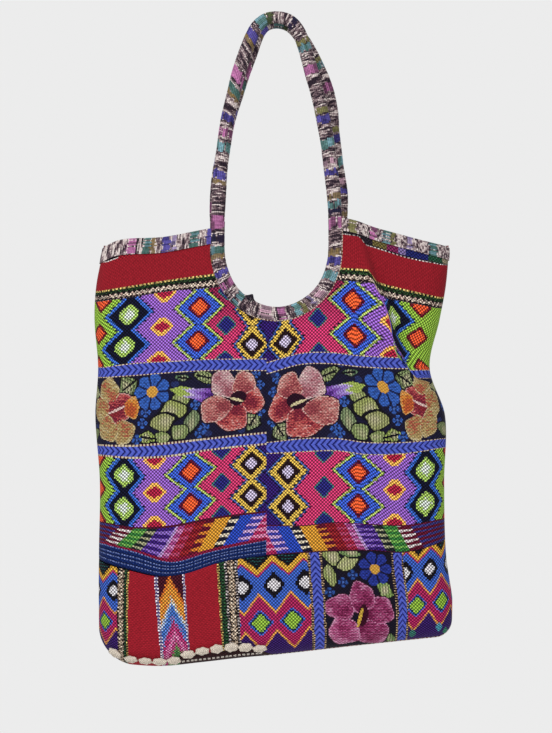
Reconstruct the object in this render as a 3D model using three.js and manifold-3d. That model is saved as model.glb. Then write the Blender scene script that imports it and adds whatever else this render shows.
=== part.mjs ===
// Huipil tote bag: two cloth walls sewn from hand-woven huipil halves and a lower strip,
// jaspe top bands folded over the mouth, a bound scoop and a padded handle on each wall,
// and a row of white cotton edging on the front's bottom fold.
// Millimetres, +Z up. The origin is the hook point under the two handles, and the front faces -Y.
import * as THREE from "three";
import { mergeVertices } from "three/addons/utils/BufferGeometryUtils.js";
import Module from "manifold-3d";

const wasm = await Module();
wasm.setup();

// Driving sizes
const CLOTH = 2;
const GAP = 0.3;
const ROOM = 0.5;
const CENTRE_SEAM_X = -6;
const EDGE_TURN = 24;
const FLAT_SHARE = 0.84;
const BOTTOM_TURN = 26;
const CORNER_RADIUS = { left: 30, right: 20 };
const BAND_HEIGHT = 17;
const BAND_CLOTH = 1.2;
const BINDING = { width: 16.5, thickness: 9, sides: 10 };
const STRAP = { width: 15.5, thickness: 13, sides: 10 };
const STRAP_APEX_Y = 7.2;
const STRAP_END_GAP = 1.8;
const SCOOP = { half_width: 64.8, depth: 71, centre_drop: 248 };
const EDGING = { lumps: 11, from_x: -163.5, to_x: -13, long: 14, tall: 8.5, thick: 5, cord: 3 };

// The body's outline from the front, section by section down from the hook,
// with how far each wall stands out from the side seams and how much more it swells in the middle.
const SECTIONS = [
  { drop: 204, left: -183, right: 194, depth: 9, crown: 8 },
  { drop: 244, left: -187, right: 196, depth: 11, crown: 9 },
  { drop: 286, left: -195, right: 193, depth: 15, crown: 9 },
  { drop: 324, left: -197, right: 186, depth: 18, crown: 9 },
  { drop: 378, left: -193, right: 175, depth: 20, crown: 8 },
  { drop: 431, left: -196, right: 192, depth: 22, crown: 8 },
  { drop: 504, left: -191, right: 191, depth: 24, crown: 7 },
  { drop: 584, left: -192, right: 193, depth: 25, crown: 6 },
  { drop: 644, left: -192, right: 201, depth: 25, crown: 6 },
  { drop: 709, left: -189, right: 199, depth: 24, crown: 6 },
];

// Height of the mouth's edge, of the seam above the lower strip and of the bottom, at places across the body.
const MOUTH_EDGE = [
  { x: -190, drop: 247 },
  { x: -168, drop: 237.6 },
  { x: -120, drop: 234.6 },
  { x: -66, drop: 225 },
  { x: 5, drop: 217 },
  { x: 76, drop: 213.5 },
  { x: 120, drop: 226 },
  { x: 165, drop: 238 },
  { x: 196, drop: 245 },
];
const WAIST_SEAM = [
  { x: -196, drop: 589 },
  { x: -155, drop: 599 },
  { x: -124, drop: 605 },
  { x: -96, drop: 602 },
  { x: -57, drop: 590 },
  { x: -6, drop: 583 },
  { x: 40, drop: 579 },
  { x: 105, drop: 577 },
  { x: 146, drop: 579 },
  { x: 198, drop: 566 },
];
const BOTTOM_FOLD = [
  { x: -200, drop: 700 },
  { x: -175, drop: 703.5 },
  { x: -150, drop: 707 },
  { x: -118, drop: 708 },
  { x: -79, drop: 704 },
  { x: -35, drop: 699 },
  { x: 9, drop: 695 },
  { x: 97, drop: 685 },
  { x: 204, drop: 674 },
];

// Folds of the front wall: a ridge or a valley along a line, with its half width and how far it moves the cloth out.
const FOLDS = [
  { name: "shoulder_ridge", x1: 104, drop1: 226, x2: 128, drop2: 376, width: 13, out: 9 },
  { name: "shoulder_valley", x1: 124, drop1: 230, x2: 146, drop2: 376, width: 12, out: -10 },
  { name: "right_waist_dent", x1: 150, drop1: 396, x2: 196, drop2: 356, width: 26, out: -6 },
  { name: "lower_left_swell", x1: -165, drop1: 564, x2: -90, drop2: 589, width: 42, out: 5 },
  { name: "centre_drape", x1: -46, drop1: 334, x2: -30, drop2: 644, width: 34, out: -4 },
  { name: "right_swell", x1: 95, drop1: 434, x2: 110, drop2: 644, width: 40, out: 4 },
];

// Each wall's scoop and handle: which side it is on, the scoop's middle, how much wider it is than the front's,
// whether the handle lies aside, and how much higher it hangs.
const HANDLES = [
  { name: "front", side: -1, centre_x: 5, wider: 0, aside: 0, lift: 3.2 },
  { name: "back", side: 1, centre_x: 7.7, wider: 4.7, aside: 1, lift: 0.6 },
];

// Where the edging lies: share of the way along it, and share of the way down the lower strip.
const EDGING_LINE = [
  { along: 0, down: 0.78 },
  { along: 0.4, down: 0.788 },
  { along: 0.52, down: 0.735 },
  { along: 0.8, down: 0.72 },
  { along: 1, down: 0.758 },
];

// The front handle's centre line from the left leg over the hook to the right leg, and how far the back one lies aside.
const HANDLE_ROUTE = [
  { x: -58.7, z: -199, back_shift: -4 },
  { x: -57.2, z: -171, back_shift: -3.5 },
  { x: -53.5, z: -138, back_shift: -2 },
  { x: -48.3, z: -105, back_shift: -1 },
  { x: -39.5, z: -66, back_shift: 2 },
  { x: -29, z: -31, back_shift: 4 },
  { x: -18.5, z: -7, back_shift: 2.5 },
  { x: -8, z: 3.5, back_shift: 1 },
  { x: 5.2, z: 6.6, back_shift: 1 },
  { x: 18.6, z: 3.2, back_shift: 1 },
  { x: 28, z: -7, back_shift: 2 },
  { x: 36.3, z: -28, back_shift: 7 },
  { x: 44.8, z: -58, back_shift: 12.5 },
  { x: 53, z: -90, back_shift: 13 },
  { x: 58.5, z: -117, back_shift: 9.5 },
  { x: 63, z: -148, back_shift: 9 },
  { x: 67, z: -182, back_shift: 10 },
];

// Colours and finishes of the cloths
const huipilCloth = new THREE.MeshStandardMaterial({ color: "#8d3566", roughness: 0.9, metalness: 0 });
const lowerCloth = new THREE.MeshStandardMaterial({ color: "#a01c30", roughness: 0.9, metalness: 0 });
const jaspeCloth = new THREE.MeshStandardMaterial({ color: "#8b7a8c", roughness: 0.85, metalness: 0 });
const cottonLace = new THREE.MeshStandardMaterial({ color: "#d9cfc0", roughness: 0.95, metalness: 0 });

// Smooth curve through one column of a table, along another column.
function curveThrough(rows, along, column) {
  const places = rows.map((row) => row[along]);
  const values = rows.map((row) => row[column]);
  const curve = new THREE.CubicInterpolant(places, values, 1);
  const first = places[0];
  const last = places[places.length - 1];
  return (at) => curve.evaluate(THREE.MathUtils.clamp(at, first, last))[0];
}

const leftAt = curveThrough(SECTIONS, "drop", "left");
const rightAt = curveThrough(SECTIONS, "drop", "right");
const depthAt = curveThrough(SECTIONS, "drop", "depth");
const crownAt = curveThrough(SECTIONS, "drop", "crown");
const mouthDrop = curveThrough(MOUTH_EDGE, "x", "drop");
const waistDrop = curveThrough(WAIST_SEAM, "x", "drop");
const bottomDrop = curveThrough(BOTTOM_FOLD, "x", "drop");
const edgingDown = curveThrough(EDGING_LINE, "along", "down");

// Width of one half of the wall, from the centre seam to a side seam.
function halfWidth(across, drop) {
  return across < 0 ? CENTRE_SEAM_X - leftAt(drop) : rightAt(drop) - CENTRE_SEAM_X;
}

// X at a place across the wall, -1 at the left seam and 1 at the right: flat, then a quarter turn to the seam.
function acrossToX(across, drop) {
  const reach = Math.abs(across);
  const flat = halfWidth(across, drop) - EDGE_TURN;
  const turn = Math.max(0, (reach - FLAT_SHARE) / (1 - FLAT_SHARE));
  const offset = flat * Math.min(1, reach / FLAT_SHARE) + EDGE_TURN * Math.sin((turn * Math.PI) / 2);
  return CENTRE_SEAM_X + Math.sign(across) * offset;
}

// How much higher the bottom is at x than its straight line, where the lower corners are round.
function cornerLift(x, drop) {
  const intoLeft = (leftAt(drop) + CORNER_RADIUS.left - x) / CORNER_RADIUS.left;
  const intoRight = (x - rightAt(drop) + CORNER_RADIUS.right) / CORNER_RADIUS.right;
  const into = THREE.MathUtils.clamp(Math.max(intoLeft, intoRight), 0, 1);
  const radius = intoLeft > intoRight ? CORNER_RADIUS.left : CORNER_RADIUS.right;
  return radius * (1 - Math.sqrt(1 - into * into));
}

// Where the bottom begins to turn under the bag.
function turnDrop(across) {
  const level = 690;
  const x = acrossToX(across, level);
  return bottomDrop(x) - cornerLift(x, level) - BOTTOM_TURN;
}

// How far the folds move the front wall out at a place on it.
function foldOut(x, drop) {
  let out = 0;
  for (const fold of FOLDS) {
    const line = new THREE.Vector2(fold.x2 - fold.x1, fold.drop2 - fold.drop1);
    const from = new THREE.Vector2(x - fold.x1, drop - fold.drop1);
    const along = from.dot(line) / line.lengthSq();
    const aside = from.cross(line) / line.length();
    const past = Math.max(0, -along, along - 1) * line.length();
    out += fold.out * Math.exp(-((aside * aside + past * past) / (fold.width * fold.width)));
  }
  return out;
}

// A point on a wall's outer face. tuck runs from 0 where the bottom begins to turn to 1 at the seam below.
function wallPoint(side, across, drop, tuck = 0) {
  const x = acrossToX(across, drop);
  const reach = Math.abs(across);
  const turn = Math.max(0, (reach - FLAT_SHARE) / (1 - FLAT_SHARE));
  const fold = side < 0 ? foldOut(x, drop) : 0;
  const swell = (crownAt(drop) + fold) * (1 - reach * reach);
  const stand = depthAt(drop) * Math.cos((turn * Math.PI) / 2) + swell;
  const under = (tuck * Math.PI) / 2;
  const y = side * (GAP / 2 + stand * Math.cos(under));
  return new THREE.Vector3(x, y, -drop - BOTTOM_TURN * Math.sin(under));
}

// Outward direction of a wall at u across and v down, from small steps either way.
function outward(place, side, u, v) {
  const step = 0.002;
  const right = place(Math.min(1, u + step), v).sub(place(Math.max(0, u - step), v));
  const down = place(u, Math.min(1, v + step)).sub(place(u, Math.max(0, v - step)));
  return right.cross(down).multiplyScalar(side).normalize();
}

// A wall of cloth as one closed body: place(u, v) is its outer face, and the inner face lies a thickness behind it.
function clothWall(place, side, columns, rows, grow = 0) {
  const outer = [];
  const inner = [];
  for (let j = 0; j <= rows; j++) {
    for (let i = 0; i <= columns; i++) {
      const point = place(i / columns, j / rows);
      const normal = outward(place, side, i / columns, j / rows);
      outer.push(point.clone().addScaledVector(normal, grow));
      inner.push(point.clone().addScaledVector(normal, -CLOTH - grow));
    }
  }
  const count = outer.length;
  const at = (i, j) => j * (columns + 1) + i;
  const index = [];
  const quad = (a, b, c, d) => index.push(...(side > 0 ? [a, b, c, a, c, d] : [a, c, b, a, d, c]));
  for (let j = 0; j < rows; j++) {
    for (let i = 0; i < columns; i++) {
      const corners = [at(i, j), at(i + 1, j), at(i + 1, j + 1), at(i, j + 1)];
      const [a, b, c, d] = corners;
      quad(a, b, c, d);
      quad(d + count, c + count, b + count, a + count);
    }
  }
  for (let i = 0; i < columns; i++) {
    quad(at(i + 1, 0), at(i, 0), at(i, 0) + count, at(i + 1, 0) + count);
    quad(at(i, rows), at(i + 1, rows), at(i + 1, rows) + count, at(i, rows) + count);
  }
  for (let j = 0; j < rows; j++) {
    quad(at(0, j), at(0, j + 1), at(0, j + 1) + count, at(0, j) + count);
    quad(at(columns, j + 1), at(columns, j), at(columns, j) + count, at(columns, j + 1) + count);
  }
  const geometry = new THREE.BufferGeometry().setFromPoints([...outer, ...inner]);
  return geometry.setIndex(index);
}

// A geometry as a solid that can be cut and joined, and back again.
function solidOf(geometry) {
  const bare = new THREE.BufferGeometry().setAttribute("position", geometry.getAttribute("position"));
  const merged = mergeVertices(bare.setIndex(geometry.index), 1e-4);
  const vertProperties = merged.getAttribute("position").array;
  return new wasm.Manifold(new wasm.Mesh({ numProp: 3, vertProperties, triVerts: merged.index.array }));
}

function geometryOf(solid) {
  const { vertProperties, triVerts } = solid.getMesh();
  const geometry = new THREE.BufferGeometry();
  geometry.setAttribute("position", new THREE.BufferAttribute(vertProperties, 3));
  return geometry.setIndex(new THREE.BufferAttribute(triVerts, 1));
}

// Where the upper half of a wall lies: from the mouth's edge down to the waist seam, on one side of the centre seam.
function upperPlace(side, half, { topOffset, seamX, height }) {
  return (u, v) => {
    const reach = THREE.MathUtils.lerp(seamX / 190, 1, half < 0 ? 1 - u : u);
    const across = half * reach;
    const top = mouthDrop(acrossToX(across, 244)) + topOffset;
    const bottom = height ? top + height : waistDrop(acrossToX(across, 584)) - GAP / 2;
    return wallPoint(side, across, THREE.MathUtils.lerp(top, bottom, v));
  };
}

// The lower strip of a wall: down from the waist seam, then round under the bag to the bottom seam.
function lowerPlace(side) {
  const straightShare = 0.66;
  return (u, v) => {
    const across = 2 * u - 1;
    const top = waistDrop(acrossToX(across, 584)) + GAP / 2;
    const bottom = turnDrop(across);
    const drop = THREE.MathUtils.lerp(top, bottom, Math.min(1, v / straightShare));
    const tuck = Math.max(0, (v - straightShare) / (1 - straightShare));
    return wallPoint(side, across, drop, tuck);
  };
}

// Middle of the cloth's thickness at x on a wall.
function clothMiddle(handle, x, drop) {
  const flat = halfWidth(x - CENTRE_SEAM_X, drop) - EDGE_TURN;
  const across = ((x - CENTRE_SEAM_X) / flat) * FLAT_SHARE;
  const point = wallPoint(handle.side, across, drop);
  return new THREE.Vector3(x, point.y - (handle.side * CLOTH) / 2, -drop);
}

// The raw edge of a wall's scoop, from the left shoulder round the bottom to the right shoulder.
function scoopEdge(handle, grow = 0) {
  const half = SCOOP.half_width + handle.wider + grow;
  const deep = SCOOP.depth + grow;
  const steps = 18;
  const points = [];
  const left = handle.centre_x - half;
  const right = handle.centre_x + half;
  const shoulder = { left: mouthDrop(left) - 8, right: mouthDrop(right) - 4 };
  for (const share of [0, 0.5]) {
    points.push([left, THREE.MathUtils.lerp(shoulder.left, SCOOP.centre_drop, share)]);
  }
  for (let i = 0; i <= steps; i++) {
    const angle = (Math.PI * i) / steps;
    points.push([handle.centre_x - half * Math.cos(angle), SCOOP.centre_drop + deep * Math.sin(angle)]);
  }
  for (const share of [0.5, 0]) {
    points.push([right, THREE.MathUtils.lerp(shoulder.right, SCOOP.centre_drop, share)]);
  }
  return points;
}

// A solid that takes the scoop out of a wall, front to back.
function scoopCutter(handle, grow) {
  const reachUp = 60;
  const edge = scoopEdge(handle, grow).map(([x, drop]) => new THREE.Vector2(x, -drop));
  const first = edge[0].clone().add(new THREE.Vector2(0, reachUp));
  const last = edge[edge.length - 1].clone().add(new THREE.Vector2(0, reachUp));
  const outline = new THREE.Shape([first, ...edge, last]);
  const reach = 80;
  const cutter = new THREE.ExtrudeGeometry(outline, { depth: 2 * reach, bevelEnabled: false });
  return cutter.rotateX(Math.PI / 2).translate(0, reach, 0);
}

// A rounded section swept along a curve that lies nearly upright: its width in the curve's plane, its thickness along Y.
function sweptRoll(points, { width, thickness, sides }, steps, grow = 0) {
  const curve = new THREE.CatmullRomCurve3(points);
  const corners = [];
  const index = [];
  for (let j = 0; j <= steps; j++) {
    const centre = curve.getPointAt(j / steps);
    const along = curve.getTangentAt(j / steps);
    const out = new THREE.Vector3(0, 1, 0).addScaledVector(along, -along.y).normalize();
    const aside = along.clone().cross(out);
    for (let i = 0; i < sides; i++) {
      const angle = ((i + 0.5) * 2 * Math.PI) / sides;
      const corner = centre.clone().addScaledVector(out, (thickness / 2 + grow) * Math.cos(angle));
      corners.push(corner.addScaledVector(aside, (width / 2 + grow) * Math.sin(angle)));
    }
  }
  const last = steps * sides;
  for (let i = 0; i < sides; i++) {
    const next = (i + 1) % sides;
    for (let j = 0; j < last; j += sides) {
      index.push(j + i, j + next, j + sides + next, j + i, j + sides + next, j + sides + i);
    }
    if (i > 1) index.push(0, i, i - 1, last, last + i - 1, last + i);
  }
  return new THREE.BufferGeometry().setFromPoints(corners).setIndex(index);
}

// The binding's centre line along a scoop's raw edge.
function bindingRoute(handle) {
  return scoopEdge(handle).map(([x, drop]) => clothMiddle(handle, x, drop));
}

// A handle's centre line: from one end of its binding over the hook to the other.
function strapRoute(handle) {
  const ends = bindingRoute(handle);
  const first = ends[0].clone().add(new THREE.Vector3(0, 0, STRAP_END_GAP));
  const last = ends[ends.length - 1].clone().add(new THREE.Vector3(0, 0, STRAP_END_GAP));
  const middle = HANDLE_ROUTE.map(({ x, z, back_shift }) => {
    const share = THREE.MathUtils.smoothstep(-z, 20, 219);
    const y = THREE.MathUtils.lerp(handle.side * STRAP_APEX_Y, first.y, share);
    return new THREE.Vector3(x + handle.aside * back_shift, y, z + handle.lift);
  });
  return [first, ...middle, last];
}

// The white edging: oval lumps of cotton on a cord along the front's bottom fold, flat against the cloth.
function edgingSolid() {
  const { lumps, from_x, to_x, long, tall, thick, cord } = EDGING;
  const clear = 0.7;
  const place = lowerPlace(-1);
  const spots = [];
  for (let i = 0; i < lumps; i++) {
    const share = i / (lumps - 1);
    const reach = (CENTRE_SEAM_X - THREE.MathUtils.lerp(from_x, to_x, share)) / halfWidth(-1, 690);
    const u = (1 - reach) / 2;
    const v = edgingDown(share);
    const normal = outward(place, -1, u, v);
    const along = place(u + 0.01, v).sub(place(u - 0.01, v)).normalize();
    spots.push({ normal, along, centre: place(u, v).addScaledVector(normal, thick / 2 + clear) });
  }
  const route = spots.map((spot) => spot.centre);
  let solid = solidOf(sweptRoll(route, { width: cord, thickness: cord, sides: 5 }, lumps));
  for (const { normal, along, centre } of spots) {
    const up = along.clone().cross(normal);
    const turn = new THREE.Matrix4().makeBasis(along, normal, up).setPosition(centre);
    const lump = new THREE.SphereGeometry(0.5, 8, 5).scale(long, thick, tall).applyMatrix4(turn);
    solid = solid.add(solidOf(lump));
  }
  return solid;
}

// A wall's piece cut off clear of the other wall, at the side and bottom seams.
function onItsSide(solid, side) {
  return solid.trimByPlane([0, side, 0], GAP / 2);
}

const bag = new THREE.Group();

function addPiece(name, solid, material) {
  const mesh = new THREE.Mesh(geometryOf(solid), material);
  mesh.name = name;
  bag.add(mesh);
}

// Each wall: two huipil halves, the lower strip, the two top bands, the scoop's binding and the handle.
for (const handle of HANDLES) {
  const { name, side } = handle;
  const columns = side < 0 ? 18 : 12;
  const scoop = solidOf(scoopCutter(handle, 0));
  const roll = solidOf(sweptRoll(bindingRoute(handle), BINDING, 28));
  const rollRoom = solidOf(sweptRoll(bindingRoute(handle), BINDING, 28, ROOM));
  let binding = roll;
  for (const [half, word] of [[-1, "left"], [1, "right"]]) {
    const rows = side < 0 ? 12 : 10;
    const edgeDrop = ROOM + BAND_CLOTH;
    const clothPlace = upperPlace(side, half, { topOffset: edgeDrop, seamX: GAP / 2 });
    const roomPlace = upperPlace(side, half, { topOffset: edgeDrop - ROOM, seamX: -ROOM });
    const foldPlace = upperPlace(side, half, { topOffset: 0, seamX: 0, height: BAND_HEIGHT });
    const cloth = onItsSide(solidOf(clothWall(clothPlace, side, columns, rows)), side);
    addPiece(`${name}_${word}`, cloth.subtract(scoop), huipilCloth);
    const clothRoom = solidOf(clothWall(roomPlace, side, columns, rows, ROOM));
    binding = binding.subtract(clothRoom.subtract(solidOf(scoopCutter(handle, -ROOM))));
    const fold = solidOf(clothWall(foldPlace, side, columns, 1, ROOM + BAND_CLOTH));
    const band = onItsSide(fold, side).subtract(clothRoom).subtract(rollRoom).subtract(scoop);
    addPiece(`${name}_${word}_top_band`, band, jaspeCloth);
  }
  const lower = solidOf(clothWall(lowerPlace(side), side, 2 * columns, 7));
  addPiece(`${name}_lower`, onItsSide(lower, side), lowerCloth);
  addPiece(`${name}_neck_binding`, binding, jaspeCloth);
  addPiece(`${name}_handle`, solidOf(sweptRoll(strapRoute(handle), STRAP, 32)), jaspeCloth);
}
addPiece("cotton_edging", edgingSolid(), cottonLace);

export default bag;
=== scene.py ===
import bpy
import numpy as np
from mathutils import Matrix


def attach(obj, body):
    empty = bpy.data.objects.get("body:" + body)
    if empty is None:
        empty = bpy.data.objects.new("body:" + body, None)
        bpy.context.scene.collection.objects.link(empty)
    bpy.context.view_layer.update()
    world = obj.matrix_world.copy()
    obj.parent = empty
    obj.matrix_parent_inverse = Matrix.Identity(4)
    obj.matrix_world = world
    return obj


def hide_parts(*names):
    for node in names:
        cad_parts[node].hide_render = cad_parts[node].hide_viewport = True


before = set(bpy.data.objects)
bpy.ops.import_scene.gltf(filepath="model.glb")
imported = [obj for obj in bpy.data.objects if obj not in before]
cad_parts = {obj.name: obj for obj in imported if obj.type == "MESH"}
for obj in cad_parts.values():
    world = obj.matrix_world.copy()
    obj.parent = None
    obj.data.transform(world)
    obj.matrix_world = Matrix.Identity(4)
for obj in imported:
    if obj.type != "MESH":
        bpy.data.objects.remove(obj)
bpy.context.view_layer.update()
scene = bpy.context.scene


# Camera, studio light and floor. The bag hangs by its handles in front of a plain pale grey, lit softly
# from all round with a broad lamp above the left, and a small pale floor lies well below it.
def linear(code):
    """An sRGB hex colour as three linear shares: the power curve of the standard, channel by channel."""
    shares = np.array([int(code[i:i + 2], 16) for i in (1, 3, 5)]) / 255
    return np.where(shares <= 0.04045, shares / 12.92, ((shares + 0.055) / 1.055) ** 2.4)


def put_object(name, data):
    """A new object in the scene, at the origin."""
    thing = bpy.data.objects.new(name, data)
    scene.collection.objects.link(thing)
    return thing


def add_node(material, kind, settings=None, **links):
    """A node of a material: its settings, then its sockets by name, each a number, a colour or a link."""
    tree = material.node_tree
    node = tree.nodes.new(kind)
    for key, value in (settings or {}).items():
        setattr(node, key, value)
    for key, value in links.items():
        name = key.replace("_", " ")
        socket = node.inputs[int(name[3:])] if name.startswith("at ") else node.inputs[name]
        if isinstance(value, bpy.types.NodeSocket):
            tree.links.new(value, socket)
        else:
            socket.default_value = value
    return node


def new_material(name):
    """An empty node material and its output."""
    material = bpy.data.materials.new(name)
    material.use_nodes = True
    material.node_tree.nodes.clear()
    return material, add_node(material, "ShaderNodeOutputMaterial")


camera = put_object("camera", bpy.data.cameras.new("camera"))
scene.camera = camera
camera.location = (0.0044, -1.6, -0.3763)
camera.rotation_euler = (np.pi / 2, 0, 0)
camera.data.sensor_fit = "VERTICAL"
camera.data.sensor_height = 24
camera.data.lens = 47.18
camera.data.clip_start = 0.05

scene.view_settings.view_transform = "Standard"
world = bpy.data.worlds.new("studio")
scene.world = world
world.use_nodes = True
FILL_LIGHT = 0.5  # share of the backdrop's brightness that reaches the bag from all round
seen = add_node(world, "ShaderNodeLightPath").outputs["Is Camera Ray"]
glow = add_node(world, "ShaderNodeMapRange", Value=seen, To_Min=FILL_LIGHT, To_Max=1.0)
backdrop = world.node_tree.nodes["Background"]
backdrop.inputs["Color"].default_value = (*linear("#ececec"), 1)
world.node_tree.links.new(glow.outputs["Result"], backdrop.inputs["Strength"])
LAMPS = (
    # name, place, turn about X and Z in degrees, size in metres, watts
    ("lamp_above_left", (-0.9, -1.1, 0.7), (52, -38), 1.2, 15.2),
    ("lamp_front", (0.5, -1.7, -0.2), (86, 16), 1.4, 8.8),
    ("lamp_behind", (0.6, 1.6, 0.4), (68, 160), 1.4, 18.0),
)
for name, place, turn, size, watts in LAMPS:
    lamp = put_object(name, bpy.data.lights.new(name, "AREA"))
    lamp.location = place
    lamp.rotation_euler = (np.radians(turn[0]), 0, np.radians(turn[1]))
    lamp.data.size = size
    lamp.data.energy = watts

FLOOR_RADIUS, FLOOR_Z, FLOOR_SIDES = 0.55, -1.0, 96
floor_turn = np.linspace(0, 2 * np.pi, FLOOR_SIDES, endpoint=False)
floor_ring = np.stack([np.cos(floor_turn), np.sin(floor_turn)], 1) * FLOOR_RADIUS
floor_mesh = bpy.data.meshes.new("floor")
floor_mesh.from_pydata([(x, y, FLOOR_Z) for x, y in floor_ring.tolist()], [], [list(range(FLOOR_SIDES))])
floor = put_object("floor", floor_mesh)
# Matt painted board: even and pale, with the faintest mottle.
board, board_out = new_material("painted board")
board_place = add_node(board, "ShaderNodeTexCoord").outputs["Object"]
mottle = add_node(board, "ShaderNodeTexNoise", Vector=board_place, Scale=30.0).outputs["Fac"]
board_tone = add_node(board, "ShaderNodeMapRange", Value=mottle, To_Min=0.8, To_Max=0.86).outputs["Result"]
board_paint = add_node(board, "ShaderNodeBsdfPrincipled", Base_Color=board_tone, Roughness=0.7)
board.node_tree.links.new(board_paint.outputs["BSDF"], board_out.inputs["Surface"])
floor_mesh.materials.append(board)


# The two front halves: hand-woven huipil cloth, cotton with brocaded bands, one half each side of the
# centre seam. They hang from the handles, turn at the side seams, and a deep pleat falls from the right
# shoulder.
CENTRE_SEAM_X = -6
EDGE_TURN, EDGE_ARC = 24, 38  # mm from the flat to the side seam, straight across and along the cloth
FLAT_SHARE = 0.84  # share of a half that lies flat
HALF_WIDTH = 212  # mm of cloth across a half
SEAM_GAP = 0.15  # mm kept from the line of a seam
BOTTOM_TURN = 26  # mm that the bottom falls while it turns under the bag
STITCH = 1.05  # mm of cloth to one coloured cell of the mesh
PIXEL = 1.0896  # mm of front wall to one unit of the motif tables
BAND_LEVEL = 430.0  # drop at which the bands' places across are taken

LEFT, RIGHT, DEPTH, CROWN = range(1, 5)  # columns of the next table
SECTIONS = np.array([
    # drop, left, right, depth, crown
    (204, -183, 194, 9, 8),
    (244, -187, 196, 11, 9),
    (286, -195, 193, 15, 9),
    (324, -197, 186, 18, 9),
    (378, -193, 175, 20, 8),
    (431, -196, 192, 22, 8),
    (504, -191, 191, 24, 7),
    (584, -192, 193, 25, 6),
    (644, -192, 201, 25, 6),
    (709, -189, 199, 24, 6),
], float)
MOUTH_EDGE = np.array([
    # x, drop
    (-190, 247), (-168, 237.6), (-120, 234.6), (-66, 225), (5, 217), (76, 213.5), (120, 226), (165, 238),
    (196, 245),
], float)
WAIST_SEAM = np.array([
    # x, drop
    (-196, 589), (-155, 599), (-124, 605), (-96, 602), (-57, 590), (-6, 583), (40, 579), (105, 577),
    (146, 579), (198, 566),
], float)
FOLDS = (
    # from x, drop, to x, drop, half width, out
    (150, 396, 196, 356, 26, -6),
    (-165, 564, -90, 589, 42, 5),
    (-46, 334, -30, 644, 34, -4),
    (95, 434, 110, 644, 40, 4),
)
# The pleat: its ridge line, how high it stands at places down it, how far the ridge stands out and leans
# and its hollow goes in at full height, and the widths of their curves.
RIDGE = np.array([
    # drop, x
    (226, 95), (239, 97), (268, 104), (284, 108), (303, 117), (315, 121), (329, 124), (342, 128),
    (353, 134), (363, 142), (380, 152),
], float)
RIDGE_HEIGHT = np.array([
    # drop, share
    (215, 0.12), (245, 0.22), (270, 0.45), (290, 0.8), (310, 1), (345, 1), (362, 0.6), (382, 0),
], float)
RIDGE_OUT, RIDGE_LEAN, HOLLOW_IN = 7.0, 6.5, 8.0
RIDGE_INNER, RIDGE_OUTER, LEAN_WIDTH, HOLLOW_AT, HOLLOW_WIDTH = 17, 4.5, 9, 9, 22


def through(at, table, column=1):
    """The smooth curve through a table: a cubic on each span, its end slopes those of the neighbours'
    chord."""
    places, values = table[:, 0], table[:, column]
    slopes = np.empty_like(values)
    slopes[1:-1] = (values[2:] - values[:-2]) / (places[2:] - places[:-2])
    slopes[[0, -1]] = (values[[1, -1]] - values[[0, -2]]) / (places[[1, -1]] - places[[0, -2]])
    at = np.clip(at, places[0], places[-1])
    low = np.clip(np.searchsorted(places, at) - 1, 0, len(places) - 2)
    span = places[low + 1] - places[low]
    t = (at - places[low]) / span
    start = (1 + 2 * t) * (1 - t) ** 2 * values[low] + t * (1 - t) ** 2 * span * slopes[low]
    return start + t * t * (3 - 2 * t) * values[low + 1] - t * t * (1 - t) * span * slopes[low + 1]


def ease(at, start, end):
    """0 before start, 1 after end, and a smooth step between them."""
    t = np.clip((at - start) / (end - start), 0, 1)
    return t * t * (3 - 2 * t)


def bell(at, width):
    """A bell curve, 1 at nought."""
    return np.exp(-(at / width) ** 2)


def side_parts(across, drop):
    """The flat run, and the share of the side turn, at places across the wall, -1 to 1."""
    left, right = through(drop, SECTIONS, LEFT), through(drop, SECTIONS, RIGHT)
    half = np.where(across < 0, CENTRE_SEAM_X - left, right - CENTRE_SEAM_X)
    turn = np.clip((np.abs(across) - FLAT_SHARE) / (1 - FLAT_SHARE), 0, 1)
    return (half - EDGE_TURN) * np.minimum(1, np.abs(across) / FLAT_SHARE), turn


def across_to_x(across, drop):
    """X at places across the wall: flat from the centre seam, then a quarter turn to the side seam."""
    flat, turn = side_parts(across, drop)
    return CENTRE_SEAM_X + np.sign(across) * (flat + EDGE_TURN * np.sin(turn * np.pi / 2))


def cloth_reach(across, drop):
    """Length of cloth from the centre seam: the flat run, then the arc of the turn."""
    flat, turn = side_parts(across, drop)
    return flat + EDGE_ARC * turn


def fold_out(x, drop):
    """How far soft folds move the front wall out: a bell curve of the distance from each fold line."""
    out = np.zeros_like(x)
    for x1, drop1, x2, drop2, width, height in FOLDS:
        long = np.hypot(x2 - x1, drop2 - drop1)
        along = ((x - x1) * (x2 - x1) + (drop - drop1) * (drop2 - drop1)) / long
        aside = ((x - x1) * (drop2 - drop1) - (drop - drop1) * (x2 - x1)) / long
        past = np.maximum(0, np.maximum(-along, along - long))
        out += height * bell(np.hypot(aside, past), width)
    return out


def drape(x, drop, phase):
    """Slack of the hand-sewn cloth: a few long crossed waves about a millimetre high."""
    slow = np.sin(x / 23 + drop / 61 + phase) + 0.8 * np.sin(drop / 19 - x / 37 + 2 * phase)
    return 0.45 * slow + 0.3 * np.sin(x / 9 + 3 * np.sin(drop / 47 + phase))


def pleat(x, drop, across):
    """How far the pleat moves the cloth out, a ridge with a steep outer side and a hollow beyond it, and
    how far it leans it over to the right."""
    past = x - through(drop, RIDGE)
    high = through(drop, RIDGE_HEIGHT) * (1 - across ** 4)
    rise = np.where(past < 0, bell(past, RIDGE_INNER), bell(past, RIDGE_OUTER))
    hollow = np.where(past < 0, 0, ease(past, 0, HOLLOW_AT) * bell(past - HOLLOW_AT, HOLLOW_WIDTH))
    return high * (RIDGE_OUT * rise - HOLLOW_IN * hollow), high * RIDGE_LEAN * bell(past, LEAN_WIDTH)


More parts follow.
